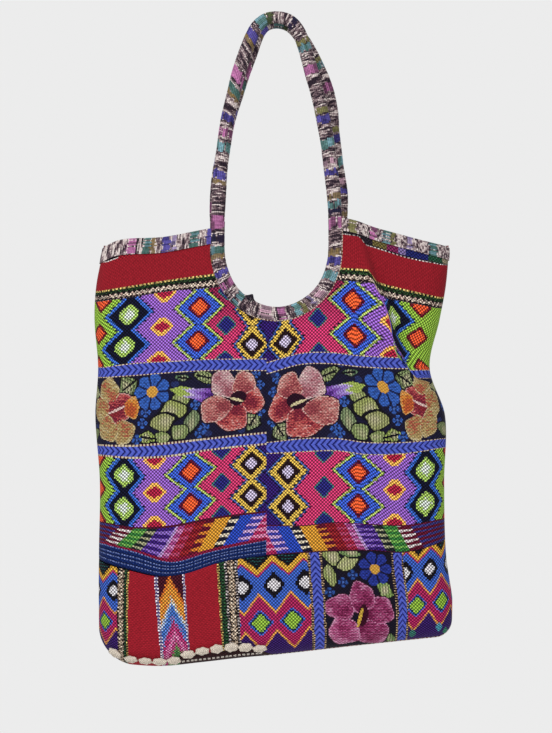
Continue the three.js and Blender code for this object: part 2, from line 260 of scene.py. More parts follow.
def wall_point(side, across, drop, tuck=0.0):
    """A point on a wall: depth times the cosine of the side turn, plus a crown and folds that fade to the
    seams, all turned under by tuck, a quarter circle at 1."""
    x, turn = across_to_x(across, drop), side_parts(across, drop)[1]
    swell = through(drop, SECTIONS, CROWN) + drape(x, drop, side)
    if side < 0:
        swell = swell + fold_out(x, drop)
    stand = through(drop, SECTIONS, DEPTH) * np.cos(turn * np.pi / 2) + swell * (1 - across ** 2)
    if side < 0:
        out, aside = pleat(x, drop, across)
        stand, x = stand + out, x + aside
    under = tuck * np.pi / 2
    y = side * (SEAM_GAP + stand * np.cos(under))
    return np.stack([x, y, -drop - BOTTOM_TURN * np.sin(under)], -1)


def put_mesh(name, points, faces, uv, colour, material, depth=1.0):
    """An object from points in mm and four-cornered faces, with a UV in stitches, and for each face a thread
    colour and how strongly the painted shade and highlight of its stitches show."""
    used, faces = np.unique(faces, return_inverse=True)
    faces = faces.reshape(-1, 4)
    mesh = bpy.data.meshes.new(name)
    mesh.from_pydata((points.reshape(-1, 3)[used] / 1000).tolist(), [], faces.tolist())
    mesh.polygons.foreach_set("use_smooth", np.ones(len(faces), bool))
    mesh.uv_layers.new(name="stitches").data.foreach_set("uv", uv.reshape(-1, 2)[used][faces].ravel())
    dye = mesh.color_attributes.new("thread", "FLOAT_COLOR", "CORNER")
    rgba = np.concatenate([colour, np.ones((len(colour), 1))], 1)
    dye.data.foreach_set("color", np.repeat(rgba, 4, 0).ravel())
    # How strongly each face shows the painted shade and highlight of its stitches.
    mesh.attributes.new("depth", "FLOAT", "FACE").data.foreach_set("value", depth * np.ones(len(faces)))
    mesh.materials.append(material)
    piece = put_object(name, mesh)
    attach(piece, "root")
    return piece


def grid_faces(rows, columns, flip=False):
    """Corner numbers of a grid's faces, row by row."""
    number = np.arange((rows + 1) * (columns + 1)).reshape(rows + 1, columns + 1)
    corners = [number[:-1, :-1], number[1:, :-1], number[1:, 1:], number[:-1, 1:]]
    return np.stack(corners[::-1] if flip else corners, -1).reshape(-1, 4)


def cloth_piece(name, points, uv, colour, flip, material, depth=1.0, keep=True):
    """A sheet of cloth on a grid of points, its faces kept where keep is true."""
    kept, deep = (np.broadcast_to(each, colour.shape[:2]).ravel() for each in (keep, depth))
    faces = grid_faces(*colour.shape[:2], flip)[kept]
    return put_mesh(name, points, faces, uv, colour.reshape(-1, 3)[kept], material, deep[kept])


def cell_middle(values):
    """The mean of each cell's four corners."""
    return (values[:-1, :-1] + values[1:, :-1] + values[1:, 1:] + values[:-1, 1:]) / 4


def plain(shape, code):
    """Stitches of one colour."""
    return np.tile(linear(code), (*shape, 1))


DIAMOND_COLUMNS = {
    # column from the seam: half width at the lower and at the upper band's diamonds and at the necks,
    # outline's width and colour, fill, then half width, half height and colour of the diamonds inside
    0: (24, 20.5, 6.0, 2.1, "#3f5fa8", "#e0ba52", ((13.0, 13.0, "#241218"), (8.1, 8.1, "#cabedc"))),
    2: (28.8, 28.2, 7.5, 3.6, "#b2c866", "#3f62d4", ((14.2, 14.2, "#5a0f2c"), (9.8, 9.8, "#fa6434"))),
    4: (23, 27.6, 9.0, 4.8, "#3a68c8", "#10122a", ((12.4, 13.4, "#a6c860"), (6.6, 7.2, "#d8e0d8"))),
}
LATTICE_COLUMNS = {
    # column from the seam: ground, then half width, half height and colour of its inner diamonds
    1: ("#d23c70", ((12.2, 12.2, "#3c7470"), (9.4, 9.4, "#2a2878"))),
    3: ("#9864c8", ((13.8, 12.4, "#fabc58"), (9.2, 7.6, "#b02444"))),
    5: ("#94be44", ((13.6, 12.6, "#641226"), (8.6, 8.4, "#ea5a34"))),
}
STEP = 2.1  # mm in each step of a woven diamond's edge, two stitches
PRICK = 1.2 * STEP  # how far the dark pricks along an edge reach
HALF_PERIOD, FIRST_DIAMOND = 0.24, 0.26  # shares of the band from a diamond to a neck, and to the first
SEAM_SAG = {0: 1.2, 1: 0.6}  # how much the columns by the seam sag, for their lean
DIAMONDS_HIGH, HIGHER_BY_LEAN = 73, 120  # mm of a band of diamonds, and how much more for a lean of 1


def stepped(across, up, wide, tall):
    """How far out a stitch is in a woven diamond: the sum of its shares across and up, each taken at the
    middle of the step that the weaver counts."""
    steps = ((np.floor(np.abs(off) / STEP) + 0.5) * STEP for off in (across, up))
    return sum(step / size for step, size in zip(steps, (wide, tall)))


def diamonds(colour, reach, level, centres, lean):
    """Columns whose edges zigzag between diamonds and necks, two diamonds to the band, and between them a
    lattice with smaller diamonds beside the necks. Edges are pricked with dark stitches on every second
    step. The columns lean as given, and with the lean those by the seam sag."""
    tall = DIAMONDS_HIGH + HIGHER_BY_LEAN * lean
    reach = reach * (1 - lean * (level - 0.5))
    second = np.floor(level * tall / STEP) % 2 == 0
    speck = np.random.default_rng(3).normal(0, 0.2, reach.shape)

    def away(column):
        """Shares of the way up or down from the nearest diamond to the neck."""
        turn = (level - FIRST_DIAMOND - lean * SEAM_SAG.get(column, 0)) / (2 * HALF_PERIOD)
        return (turn - np.round(turn)) * 2

    colour[...] = linear("#331c6c")
    for column, (ground, inner) in LATTICE_COLUMNS.items():
        # The magenta column of the upper band darkens towards its top: partly its own darker red, partly
        # painted shade under the neck binding.
        dye_and_shade_dim = 1 - 0.7 * (column == 1) * np.clip(0.9 - 1.3 * level, 0, 1) * (lean > 0)
        here = reach >= centres[column - 1]
        colour[here] = (linear(ground) * dye_and_shade_dim[..., None])[here]
        neck = (1 - np.abs(away(column))) * HALF_PERIOD * tall
        for wide, high, code in inner:
            colour[stepped(reach - centres[column], neck, wide, high) < 1] = linear(code)
    for column, (lower, upper, narrow, line, outline, fill, inner) in DIAMOND_COLUMNS.items():
        off, up = reach - centres[column], away(column)
        wide = upper if lean else lower
        inset = wide + (narrow - wide) * np.abs(up) - np.abs(off)
        colour[(inset > -PRICK) & second] = linear("#140e26")
        colour[inset > 0] = linear(outline)
        colour[inset > line] = linear(fill)
        colour[(inset > line) & (inset < line + PRICK) & ~second] = linear("#0c0e24")
        for number, (half_wide, high, code) in enumerate(inner):
            mixed = speck if column == 4 and number else 0
            colour[stepped(off, up * HALF_PERIOD * tall, half_wide, high) + mixed < 1] = linear(code)
    colour *= 1.1


def chevrons(along, level, pitch):
    """Colours of a blue braid: bright arms that meet on its middle line, with a dark line between them."""
    place = ((along - 13 * np.abs(level - 0.5)) / pitch) % 1
    line = np.clip(1.7 - np.abs(place - 0.5) * pitch, 0, 1)[..., None]
    return linear("#6272e4") * (1 - line) + linear("#181a6c") * line


def braid(colour, reach, level):
    """A blue braid of fine chevrons pointing to the seam, with a cream and maroon dotted line along each
    edge."""
    colour[...] = chevrons(reach, level, 6.3)
    edge = np.abs(level - 0.5) > 0.39
    colour[edge] = linear("#5a1c38")
    colour[edge & ((reach / 3.9) % 1 < 0.55)] = linear("#f0e0c0")


def stripes(colour, reach, level):
    """Narrow woven stripes: yellow dots, a dark green zigzag, black, and a cream zigzag of broken floats."""
    colour[...] = linear("#1a1418")
    broken = np.random.default_rng(7).random(reach.shape)
    zigzag = np.abs((reach / 5.8) % 1 - 0.5) * 2
    colour[(level < 0.17) & ((reach / 4.4) % 1 < 0.62)] = linear("#e6c878")
    green = (level > 0.17) & (level < 0.4)
    colour[green] = linear("#33532e")
    colour[green & (np.abs((level - 0.17) / 0.23 - zigzag) < 0.3)] = linear("#141a16")
    lines = np.minimum(np.abs(level - 0.5 - 0.2 * zigzag), np.abs(level - 0.68 - 0.16 * zigzag))
    cream = (lines < 0.06) & (broken > 0.1)
    colour[cream] = np.where(broken[cream][:, None] > 0.35, linear("#f0dcc8"), linear("#b8948a"))
    colour[(level > 0.9) & ((reach / 3.4) % 1 < 0.4)] = linear("#8d7680")


SLANTED_BLOCKS = (
    # from the seam, each block's outer edge in motif units, its colour, and the colour of its comb's teeth
    (9, "#c02c62", "#ee92bc"),
    (22, "#4644b4", "#dcb4e4"),
    (35, "#3050c8", None),
    (45, "#1b1a33", "#f2e4c8"),
    (60, "#eea83a", None),
    (70, "#6a1430", "#e88a34"),
    (80, "#8a1a28", "#a82a30"),
    (90, "#a82440", "#c24a70"),
    (97, "#b0488c", "#d88cc4"),
    (100, "#c4a2dc", None),
    (118, "#40207e", "#9470d0"),
    (128, "#20282c", "#b4b48c"),
    (142, "#3a8440", "#7cba56"),
    (156, "#6a1430", "#eee2e2"),
    (400, "#3c3c86", "#6a1430"),
)
SLANT = {
    # half: how far the blocks lean over the band, how much nearer the seam they begin, and where the line
    # below them begins and its colour
    -1: (21, 0, 0.9, "#8e1a40"),
    1: (15, 5, 0.97, "#4a1430"),
}


def slanted(colour, reach, level, half):
    """Blocks that lean outwards down the band, some cut into a comb of five teeth, between dark lines."""
    lean, nearer, line_from, line_code = SLANT[half]
    along = reach / PIXEL - lean * (level - 0.5) + nearer
    start = -1e3
    for end, code, teeth in SLANTED_BLOCKS:
        inside = (along >= start) & (along < end)
        colour[inside] = linear(code)
        if teeth:
            share = np.clip((along - max(start, 0)) / (end - max(start, 0)), 0, 1)
            comb = (level * 5 + 0.2) % 1 < 0.54 - 0.26 * share
            colour[inside & comb] = linear(teeth)
        start = end
    colour[level < 0.05] = linear("#5a1430")
    colour[level > line_from] = linear(line_code)
    colour *= 0.93


# Motif units from one float of the brocade to the next, 3 mm: the real 2.2 mm is too fine to show here.
HATCH = 2.8


def floats(at, amount, mean=1.0):
    """Painted light and shade of the brocade's rounded floats, one wave to each."""
    return mean + amount * np.sin(2 * np.pi * at / HATCH)


def leaf_place(x, y, at, half_long, half_wide, lean):
    """Shares along and aside of a leaf's axis, which leans by so many degrees."""
    c, s = np.cos(np.radians(lean)), np.sin(np.radians(lean))
    return ((x - at[0]) * c + (y - at[1]) * s) / half_long, ((y - at[1]) * c - (x - at[0]) * s) / half_wide


def ovals(colour, x, y, rows):
    """Plain ovals, one on another."""
    for *at, half_long, half_wide, lean, code in rows:
        along, aside = leaf_place(x, y, at, half_long, half_wide, lean)
        colour[along ** 2 + aside ** 2 < 1] = linear(code)


def leaves(colour, x, y, rows):
    """Leaves of upright floats inside a dark outline, paler in the middle, some with a dark rib and side
    veins."""
    for *at, half_long, half_wide, lean, code, rib in rows:
        along, aside = leaf_place(x, y, at, half_long, half_wide, lean)
        uneven = 0.92 + 0.14 * np.sin(3 * along + 2 * aside + at[0])
        far = (np.abs(along) ** 1.35 + np.abs(aside) ** 1.3) * uneven
        inside = far < 1
        colour[far < 1.28] = linear("#16141c")
        glow = np.clip(0.95 - 1.3 * far + 0.4 * np.sin(at[0] + 3 * along), 0, 1)[..., None]
        green = linear(code) * (1 - glow) + linear("#b6b08e") * glow
        # The leaf's floats carry painted light and shade.
        colour[inside] = (green * floats(x, 0.72, 1.08)[..., None])[inside]
        if rib:
            veins = (np.abs(aside) < 1.0 / half_wide) | ((along * 2.4 - np.abs(aside) * 1.2) % 1 < 0.2)
            colour[inside & veins & (along < 0.8)] = linear("#16141c")


def petals(colour, x, y, rows, hatch=(0.12, 0.16)):
    """Lobed petals of floats, all inside one dark line: their tones change in broken runs along the rows,
    darken towards the flower's heart and end in a light edge."""
    shapes = []
    for at_x, at_y, half_long, half_wide, lean, _, _ in rows:
        along, aside = leaf_place(x, y, (at_x, at_y), half_long, half_wide, lean)
        turn = np.arctan2(aside, along)
        lobes = 1 + 0.13 * np.cos(3 * turn + at_x) + 0.09 * np.cos(5 * turn + at_y)
        far = (along ** 2 + aside ** 2) * lobes
        colour[far < 1.16] = linear("#2a1420")
        shapes.append(far)
    # Painted light and shade of the floats, along both rows.
    tone = floats(x, hatch[0]) + floats(y, hatch[1], 0)
    for far, (at_x, at_y, _, _, _, tones, heart) in zip(shapes, rows):
        broken = np.random.default_rng(int(at_x * 7 + at_y)).normal(0, 1, x.shape)
        broken = sum(np.roll(broken, k, 1) for k in range(-1, 2)) / 1.7
        inner = ease(np.hypot(x - heart[0], y - heart[1]), 22, 7)
        patchy = 0.6 * np.sin(x / 4.1 + at_x) * np.sin(y / 4.7)
        light = 0.45 * broken + patchy + 0.9 * far - inner - 0.3
        for number, start in enumerate((-9, -0.5, 0.1, 0.85)):
            here = (far < 1) & (light > start)
            colour[here] = linear(tones[number]) * tone[here][:, None]
        colour[(far < 1) & (far > 0.86) & (broken > -0.8)] = linear(tones[3])


def round_flower(colour, x, y, at, radius, count, code, dark, centre, centre_radius):
    """A flat flower: its edge is a circle waved by the petals, with a dark cut between them, round a plain
    centre."""
    r = np.hypot(x - at[0], y - at[1])
    turn = np.arctan2(y - at[1], x - at[0]) * count / (2 * np.pi)
    off = np.abs(turn - np.round(turn)) * 2
    inside = r < radius * np.sqrt(1 - 0.45 * off ** 2)
    # The flower's floats carry painted light and shade.
    colour[inside] = linear(code) * floats(y, 0.22)[inside][:, None]
    colour[inside & ((1 - off) * r * np.pi / count < 1.0)] = linear(dark)
    colour[inside & (off < 0.16) & (r < radius * 0.75)] = (linear(dark) + linear(code)) / 2
    colour[r < centre_radius] = linear(centre)


def starlets(colour, x, y, places, code):
    """Small blue flowers with four petals."""
    for at in places:
        round_flower(colour, x, y, at, 5, 4, code, "#1d2450", "#4a6cb8", 1.2)


UPPER_LEAVES = (
    # x, y, half long, half wide, lean, colour, and whether it has a rib
    (61, 6, 12.5, 5.5, -14, "#8d9a66", True),
    (84, 5.5, 7, 3, -10, "#5f7a5c", True),
    (74.5, 48.5, 11, 7, 80, "#748460", False),
    (86, 26, 11, 8, 60, "#8f9a60", False),
    (94, 37.5, 14, 9.5, 10, "#98a05e", False),
    (104, 47, 12, 8.5, 10, "#969a64", False),
    (87, 58.5, 9, 8, 40, "#84945e", False),
    (104.6, 62, 9, 5.5, 0, "#8a9a5e", False),
    (120, 61, 8.5, 5.5, -12, "#98aa58", True),
    (139, 10, 9, 9, 35, "#7f9060", True),
    (13.5, 53, 9.5, 7.5, 60, "#86946a", True),
    (180, 14, 11, 6, -20, "#8d9668", False),
    (182, 58, 11, 6, 30, "#7d8a5e", False),
)
SALMON = ("#a65e6a", "#c28890", "#cea2a6", "#e4c8c4")
ROSE = ("#98444c", "#bc6866", "#ca8680", "#e2b8ae")
CORAL = ("#82283a", "#bc4c4e", "#ce6c66", "#e4aca4")
TAN = ("#b4604a", "#b0905e", "#bca46e", "#d0c094")
ORANGE = ("#c05a34", "#d88034", "#e29440", "#e0b070")
HIBISCUS_PETALS = (
    # x, y, half long, half wide, lean, tones, heart
    (14.2, 32, 11.5, 14, 0, CORAL, (27, 29)),
    (34.5, 48, 16, 14.5, 8, CORAL, (27, 32)),
    (42.5, 13.5, 15, 12.5, -60, SALMON, (27, 29)),
    (22.8, 13.5, 13.5, 11, 60, ROSE, (27, 29)),
    (51, 38.5, 16, 13, 20, ROSE, (30, 32)),
    (149.5, 30, 15, 15, 20, CORAL, (151, 37)),
    (159, 13, 11, 12, 10, TAN, (150, 30)),
    (135, 31, 7.5, 10.5, 0, ORANGE, (148, 33)),
    (168, 32, 10, 13, 0, TAN, (148, 33)),
    (143.5, 54.5, 11, 12, 0, TAN, (148, 33)),
    (160, 51.5, 10.5, 13, 20, TAN, (148, 33)),
)
HEARTS = (
    # x, y, half long, half wide, lean, colour: each flower's heart, then its stamen
    (28.5, 28.5, 9, 7, 30, "#2c0e22"),
    (30, 30, 7.5, 1.4, 162, "#e6d8a8"),
    (152, 36, 5, 3.5, 20, "#8e2c34"),
    (150, 32.5, 9.5, 1.3, 23, "#e8c8c0"),
)
STARLETS = (
    (121, 36.5), (124.5, 47), (130, 62.5), (71, 33), (67, 61.5), (10.8, 3), (6.8, 15), (6.2, 44), (62, 56),
    (187, 36),
)
BUD = ((72, 22), 26, 10, -14)  # place, half long, half wide, lean
BUD_TONES = (
    # share along from which each tone shows
    (-9, "#52287e"), (-0.5, "#8656b8"), (-0.2, "#aa8cda"), (0.16, "#dacee6"), (0.3, "#a8bc5c"),
)
FLOWERS_HIGH = 67  # motif units from the flower band's upper edge to its lower


def flower_band(colour, reach, level, half):
    """The flower band, outwards from the seam: a salmon hibiscus, a lilac bud, leaves, a blue flower, a tan
    hibiscus. On the right half its lower rows are pulled outwards and the salmon hibiscus sits lower."""
    x, y = reach / PIXEL, level * FLOWERS_HIGH
    if half > 0:
        x, y = (x - 7 * ease(x, 15, 70) * ease(y, 6, 34) * ease(x, 185, 140),
                y - 4 * ease(x, 80, 55))
    colour[...] = linear("#1d1b36")
    colour[np.sin(x / 5.3) * np.sin(y / 4.1 + 2) > 0.75] = linear("#2a3568")
    leaves(colour, x, y, UPPER_LEAVES)
    starlets(colour, x, y, STARLETS, "#3e6ac4")
    round_flower(colour, x, y, (114.5, 17), 18, 7, "#3a66c0", "#1d2450", "#e4a848", 5.6)
    along, aside = leaf_place(x, y, *BUD)
    half_wide = np.minimum(0.5 + 0.5 * ease(along, 0.1, -0.9), 1.2 * (1 - along))
    bud = (np.abs(along) < 1) & (np.abs(aside) < half_wide)
    along = along + 0.14 * np.sin(aside * 9) + np.random.default_rng(9).normal(0, 0.07, x.shape)
    for start, code in BUD_TONES:
        here = bud & (along > start)
        # The bud's floats carry painted light and shade.
        colour[here] = linear(code) * floats(x, 0.3)[here][:, None]
    petals(colour, x, y, HIBISCUS_PETALS)
    ovals(colour, x, y, HEARTS)


# Each half's bands: the drop of every band's upper edge at places across it (x), without the pleat.
LEFT_BANDS = (
    ("top", None),
    ("red", (263.5, 252.6, 247.2, 242.8, 234.1)),
    ("stripes", (292.9, 287.5, 281.0, 275.5, 266.8)),
    ("upper_diamonds", (304.9, 300.6, 294.0, 290.8, 283.1)),
    ("braid", (376.8, 372.5, 370.3, 368.1, 367.6)),
    ("flowers", (388.8, 386.7, 383.4, 381.2, 381.2)),
    ("braid", (461.8, 461.8, 458.6, 454.2, 447.7)),
    ("lower_diamonds", (474.9, 477.1, 474.9, 468.4, 461.8)),
    ("slanted", (546.8, 551.2, 549.0, 541.4, 533.7)),
    ("navy", (570.8, 578.0, 589.0, 578.6, 566.0)),
)
RIGHT_BANDS = (
    ("top", None),
    ("red", (231.9, 231.4, 230.8, 236.3, 248.3, 254.8)),
    ("stripes", (266.8, 266.8, 267.9, 270.6, 279.9, 287.5)),
    ("upper_diamonds", (282.0, 282.0, 282.0, 285.3, 292.9, 299.5)),
    ("braid", (371.4, 361.6, 360.5, 363.8, 365.9, 365.9)),
    ("flowers", (384.5, 374.7, 373.6, 376.8, 379.0, 379.0)),
    ("braid", (458.6, 454.2, 454.2, 458.6, 458.6, 455.3)),
    ("lower_diamonds", (471.6, 469.5, 468.4, 472.7, 471.6, 466.2)),
    ("slanted", (549.0, 549.0, 545.7, 547.4, 549.0, 543.6)),
)
FRONT_CHARTS = {
    # bands, the places across of their levels, columns of the upper and of the lower diamonds, and how far
    # the upper columns lean
    "left": (
        LEFT_BANDS, (-187.4, -153.6, -112.2, -70.8, -7.6),
        (15.4, 44, 74.3, 114.4, 153, 187), (16.5, 49, 83, 122, 155.6, 190), 0.06),
    "right": (
        RIGHT_BANDS, (-4.3, 34.9, 69.8, 103.6, 146, 183.1),
        (20.4, 56, 95.7, 134, 170, 205), (23.7, 62.7, 100, 139.7, 174, 210), 0.045),
}
# Where the pleat drops the bands right of its ridge, and how much cloth it takes in.
PLEAT_DROP = np.array([
    # drop, mm lower
    (215, 6), (240, 8.4), (268, 10.5), (285, 12), (330, 13), (372, 13), (396, 0),
], float)
PLEAT_CLOTH = np.array([
    # drop, mm of cloth
    (215, 30), (300, 29), (315, 30), (345, 40), (362, 36), (390, 4), (430, 0),
], float)
# How strongly each band's stitches show their painted shade and highlight.
STITCH_SHADE = {
    "red": 0.2, "top": 0.7, "flowers": 0.35, "slanted": 0.85, "navy": 0.5, "braid": 0.15, "stripes": 0.7,
}
MOUTH_HEM = 1.7  # mm of cloth that the top band's fold takes in


def band_rows(bands, stations, x, stitch):
    """Drops of the mesh rows: each band's edges follow their table across the wall, and its rows divide it
    evenly."""
    edges = [through(x, MOUTH_EDGE) + MOUTH_HEM]
    for _, drops in bands[1:]:
        edges.append(through(x, np.stack([stations, drops], 1)))
    edges.append(through(x, WAIST_SEAM) - SEAM_GAP)
    rows, names, levels = [], [], []
    for (name, _), above, below in zip(bands, edges[:-1], edges[1:]):
        count = max(3, round(float(np.median(below - above)) / stitch))
        rows.append(above + (below - above) * (np.arange(count)[:, None] / count))
        names += [name] * count
        levels.append((np.arange(count) + 0.5) / count)
    rows.append(edges[-1][None])
    return np.concatenate(rows), np.array(names), np.concatenate(levels)


RED = "#a21f2c"
LEFT_WEDGE = ((0.66, "#1c1620"), (0.76, "#e4dcd8"), (0.86, RED))  # level, colour
LEFT_WEDGE_FROM = 163  # mm of cloth from the seam
RIGHT_WEDGE = (
    # mm of cloth from the seam, colour
    (0, "#2c2430"), (146, "#7d7040"), (162, "#8e2a5e"), (174, "#8c78b0"), (183, "#262c74"), (208, "#2c5a42"),
    (226, "#b5a98c"),
)


def wedge(colour, reach, level, half):
    """What shows between the top band and the red: on the left a thin black and white line far out, on the
    right the next cloth's olive, magenta, lilac, navy and green, with a line of white dots below."""
    colour[...] = linear(RED)
    if half < 0:
        for start, code in LEFT_WEDGE:
            colour[(reach > LEFT_WEDGE_FROM) & (level > start)] = linear(code)
        return
    for start, code in RIGHT_WEDGE:
        colour[reach > start] = linear(code)
    colour[(level * 17 + reach / 3) % 2 < 0.7] *= 0.5
    colour[level > 0.88] = linear("#241a22")
    colour[(level > 0.91) & ((reach / 4.1) % 1 < 0.6)] = linear("#e4dcd8")


def band_colours(names, levels, reach, centres, half, lean):
    """Each stitch's colour by the band that its row is in."""
    colour = np.zeros((*reach.shape, 3))
    for name in dict.fromkeys(names):
        rows = names == name
        part, cloth = colour[rows], reach[rows]
        level = np.broadcast_to(levels[rows][:, None], cloth.shape)
        if name in centres:
            diamonds(part, cloth, level, centres[name], lean if name == "upper_diamonds" else 0)
        elif name == "flowers":
            flower_band(part, cloth, level, half)
        elif name == "braid":
            braid(part, cloth, level)
        elif name == "stripes":
            stripes(part, cloth, level)
        elif name == "slanted":
            slanted(part, cloth, level, half)
        elif name == "navy":
            line = (level * 4) % 1
            part[...] = linear("#122a6a")
            part[line > 0.7] = linear("#0e1c4c")
            part[(line < 0.2) & ((cloth / 3.2) % 1 < 0.6)] = linear("#7c8ec8")
        elif name == "top":
            wedge(part, cloth, level, half)
        else:
            # Every second column of the red lighter and the next darker: painted light and shade of its ribs.
            part[...] = linear(RED) * (1 + 0.1 * (-1.0) ** np.arange(part.shape[1]))[:, None]
        colour[rows] = part
    return colour


# Hand-woven cotton with brocade: dull, its floats set corner to corner with painted shade in the pricks
# between them and a painted highlight along their crests, each thread a little lighter or darker than the
# next. The real pitch is nearer 2.2 mm, and 2.7 mm is the finest that shows here.
STITCH_PITCH = 2.7
# Along its crest a float carries a painted highlight; rib and prick set the painted shade between floats.
CREST_HIGHLIGHT = 1.5  # how much brighter than its mean a float is along its crest
FUZZ = (0.62, 1.38)  # darkest and lightest thread
ONE_WAVE = np.pi / 10  # scale of the wave texture that gives one wave to a stitch


def woven_cotton(name, rib=0.28, prick=0.28, turn=45, sheen=0.04, roughness=0.9, relief=0.4):
    """Thread colours from the piece's attribute, with painted shade between rows of stitches that cross at a
    turn to the cloth and a painted highlight along them, as strong as its second attribute says, with the
    same in bump, so many mm high."""
    material, out = new_material(name)
    multiply = {"operation": "MULTIPLY"}
    thread = add_node(material, "ShaderNodeAttribute", {"attribute_name": "thread"}).outputs["Color"]
    depth = add_node(material, "ShaderNodeAttribute", {"attribute_name": "depth"}).outputs["Fac"]
    cloth_uv = add_node(material, "ShaderNodeUVMap", {"uv_map": "stitches"}).outputs["UV"]
    turned = add_node(material, "ShaderNodeMapping", Vector=cloth_uv, Rotation=(0, 0, np.radians(turn)))
    stitches = turned.outputs["Vector"]
    heights, tones = [], []
    for direction, low in (("Y", rib), ("X", prick)):
        bands = {"wave_type": "BANDS", "bands_direction": direction, "wave_profile": "SIN"}
        wave = add_node(material, "ShaderNodeTexWave", bands, Vector=stitches, Scale=ONE_WAVE,
                        Distortion=0.35, Detail=1.0, Detail_Scale=1.5).outputs["Fac"]
        lit = add_node(material, "ShaderNodeMapRange", Value=wave, To_Min=low, To_Max=CREST_HIGHLIGHT)
        heights.append(wave)
        tones.append(lit.outputs["Result"])
    # Painted shade between the stitches and painted highlight on their crests, to multiply the thread colour.
    shade = add_node(material, "ShaderNodeMath", multiply, at_0=tones[0], at_1=tones[1])
    height = add_node(material, "ShaderNodeMath", multiply, at_0=heights[0], at_1=heights[1])
    fuzz = add_node(material, "ShaderNodeTexNoise", Vector=stitches, Scale=0.8, Detail=3.0).outputs["Fac"]
    worn = add_node(material, "ShaderNodeMapRange", Value=fuzz, To_Min=FUZZ[0], To_Max=FUZZ[1])
    even = (rib + CREST_HIGHLIGHT) * (prick + CREST_HIGHLIGHT) / 4
    deep = add_node(material, "ShaderNodeMix", {"data_type": "FLOAT"},
                    at_0=depth, at_2=even, at_3=shade.outputs[0])
    tone = add_node(material, "ShaderNodeMath", multiply, at_0=deep.outputs[0], at_1=worn.outputs[0])
    dyed = add_node(material, "ShaderNodeMix", {"data_type": "RGBA", "blend_type": "MULTIPLY"},
                    at_0=1.0, at_6=thread, at_7=tone.outputs[0])
    bump = add_node(material, "ShaderNodeBump",
                    Height=height.outputs[0], Strength=0.6, Distance=relief / 1000)
    cloth = add_node(material, "ShaderNodeBsdfPrincipled", Base_Color=dyed.outputs[2], Roughness=roughness,
                     Normal=bump.outputs["Normal"], Sheen_Weight=sheen, Sheen_Roughness=0.5,
                     Specular_IOR_Level=0.12)
    material.node_tree.links.new(cloth.outputs["BSDF"], out.inputs["Surface"])
    return material


huipil = woven_cotton("hand-woven brocaded cotton")
SCOOPS = {-1: (5.0, 64.8), 1: (7.7, 69.5)}  # each wall's scoop: middle x and half width
SCOOP_DROP, SCOOP_DEEP = 248, 71  # where its sides end, and how deep the half ellipse below them is
SEAM_GROOVE, SEAM_WIDTH = 1.3, 3.2  # mm in, and across
WAIST_GROOVE, WAIST_WIDTH = 1.2, 3
PLEAT_EDGE = (-3, 7)  # mm past the ridge between which the cloth is taken in
PLEAT_CLEAR = 0.5  # mm that a dropped row keeps from the waist seam


def outside_scoop(side, x, drop):
    """True where a wall has cloth: outside the scoop, upright sides that end in half an ellipse."""
    middle, half = SCOOPS[side]
    below = ((x - middle) / half) ** 2 + ((drop - SCOOP_DROP) / SCOOP_DEEP) ** 2 > 1
    return np.where(drop < SCOOP_DROP, np.abs(x - middle) > half, below)


def wall_half(wall, word, stitch, bands, stations, upper_centres, lower_centres, lean):
    """One half of a wall: mesh rows along the bands, columns from the seam to the side, with seams drawn in
    and the front's right half pleated."""
    side, half = -1 if wall == "front" else 1, -1 if word == "left" else 1
    across = half * np.linspace(0, 1, round(HALF_WIDTH / stitch) + 1)[None, ::half]
    flat_x = across_to_x(across, BAND_LEVEL)[0]
    drop, names, levels = band_rows(bands, np.array(stations), flat_x, stitch)
    across = np.broadcast_to(across, drop.shape)
    reach = cloth_reach(across, drop)
    if side < 0 < half:
        past = ease(across_to_x(across, drop) - through(drop, RIDGE), *PLEAT_EDGE)
        reach = reach + past * np.interp(drop, *PLEAT_CLOTH.T)
        drop = np.minimum(drop + past * through(drop, PLEAT_DROP), np.maximum(drop, drop[-1:] - PLEAT_CLEAR))
    points = wall_point(side, across, drop)
    seam = SEAM_GROOVE * bell(cloth_reach(across, drop), SEAM_WIDTH)
    points[..., 1] -= side * (seam + WAIST_GROOVE * bell(drop - drop[-1:], WAIST_WIDTH))
    centres = {"upper_diamonds": upper_centres, "lower_diamonds": lower_centres}
    colour = band_colours(names, levels, cell_middle(reach), centres, half, lean)
    keep = outside_scoop(side, cell_middle(points[..., 0]), -cell_middle(points[..., 2]))
    uv = np.stack([reach, drop - drop[:1] if side < 0 else drop], -1) / STITCH_PITCH
    # How strongly each row shows the painted stitch shade and highlight.
    depth = np.array([STITCH_SHADE.get(name, 1) for name in names])[:, None]
    piece = cloth_piece(f"{wall}_{word}_huipil", points, uv, colour, side > 0, huipil, depth, keep)
    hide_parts(f"{wall}_{word}")
    return piece


front_left = wall_half("front", "left", STITCH, *FRONT_CHARTS["left"])
front_right = wall_half("front", "right", STITCH, *FRONT_CHARTS["right"])


# The lower front strip: the same kind of cloth turned on its side and sewn on below the waist seam, so its
# bands stand upright. It runs down the wall and turns under the bag to the bottom seam.
BOTTOM_FOLD = np.array([
    # x, drop
    (-200, 700), (-175, 703.5), (-150, 707), (-118, 708), (-79, 704), (-35, 699), (9, 695), (97, 685),
    (204, 674),
], float)
CORNER_RADIUS = (36, 20)  # left, right
STRAIGHT_SHARE = 0.66  # share of the strip above its turn under the bag
WAIST_LEVEL, STRIP_LEVEL, FOOT_LEVEL = 584.0, 620.0, 690.0  # drops at which places across are taken
STRIP_WIDTH, STRIP_HEIGHT = 412, 132


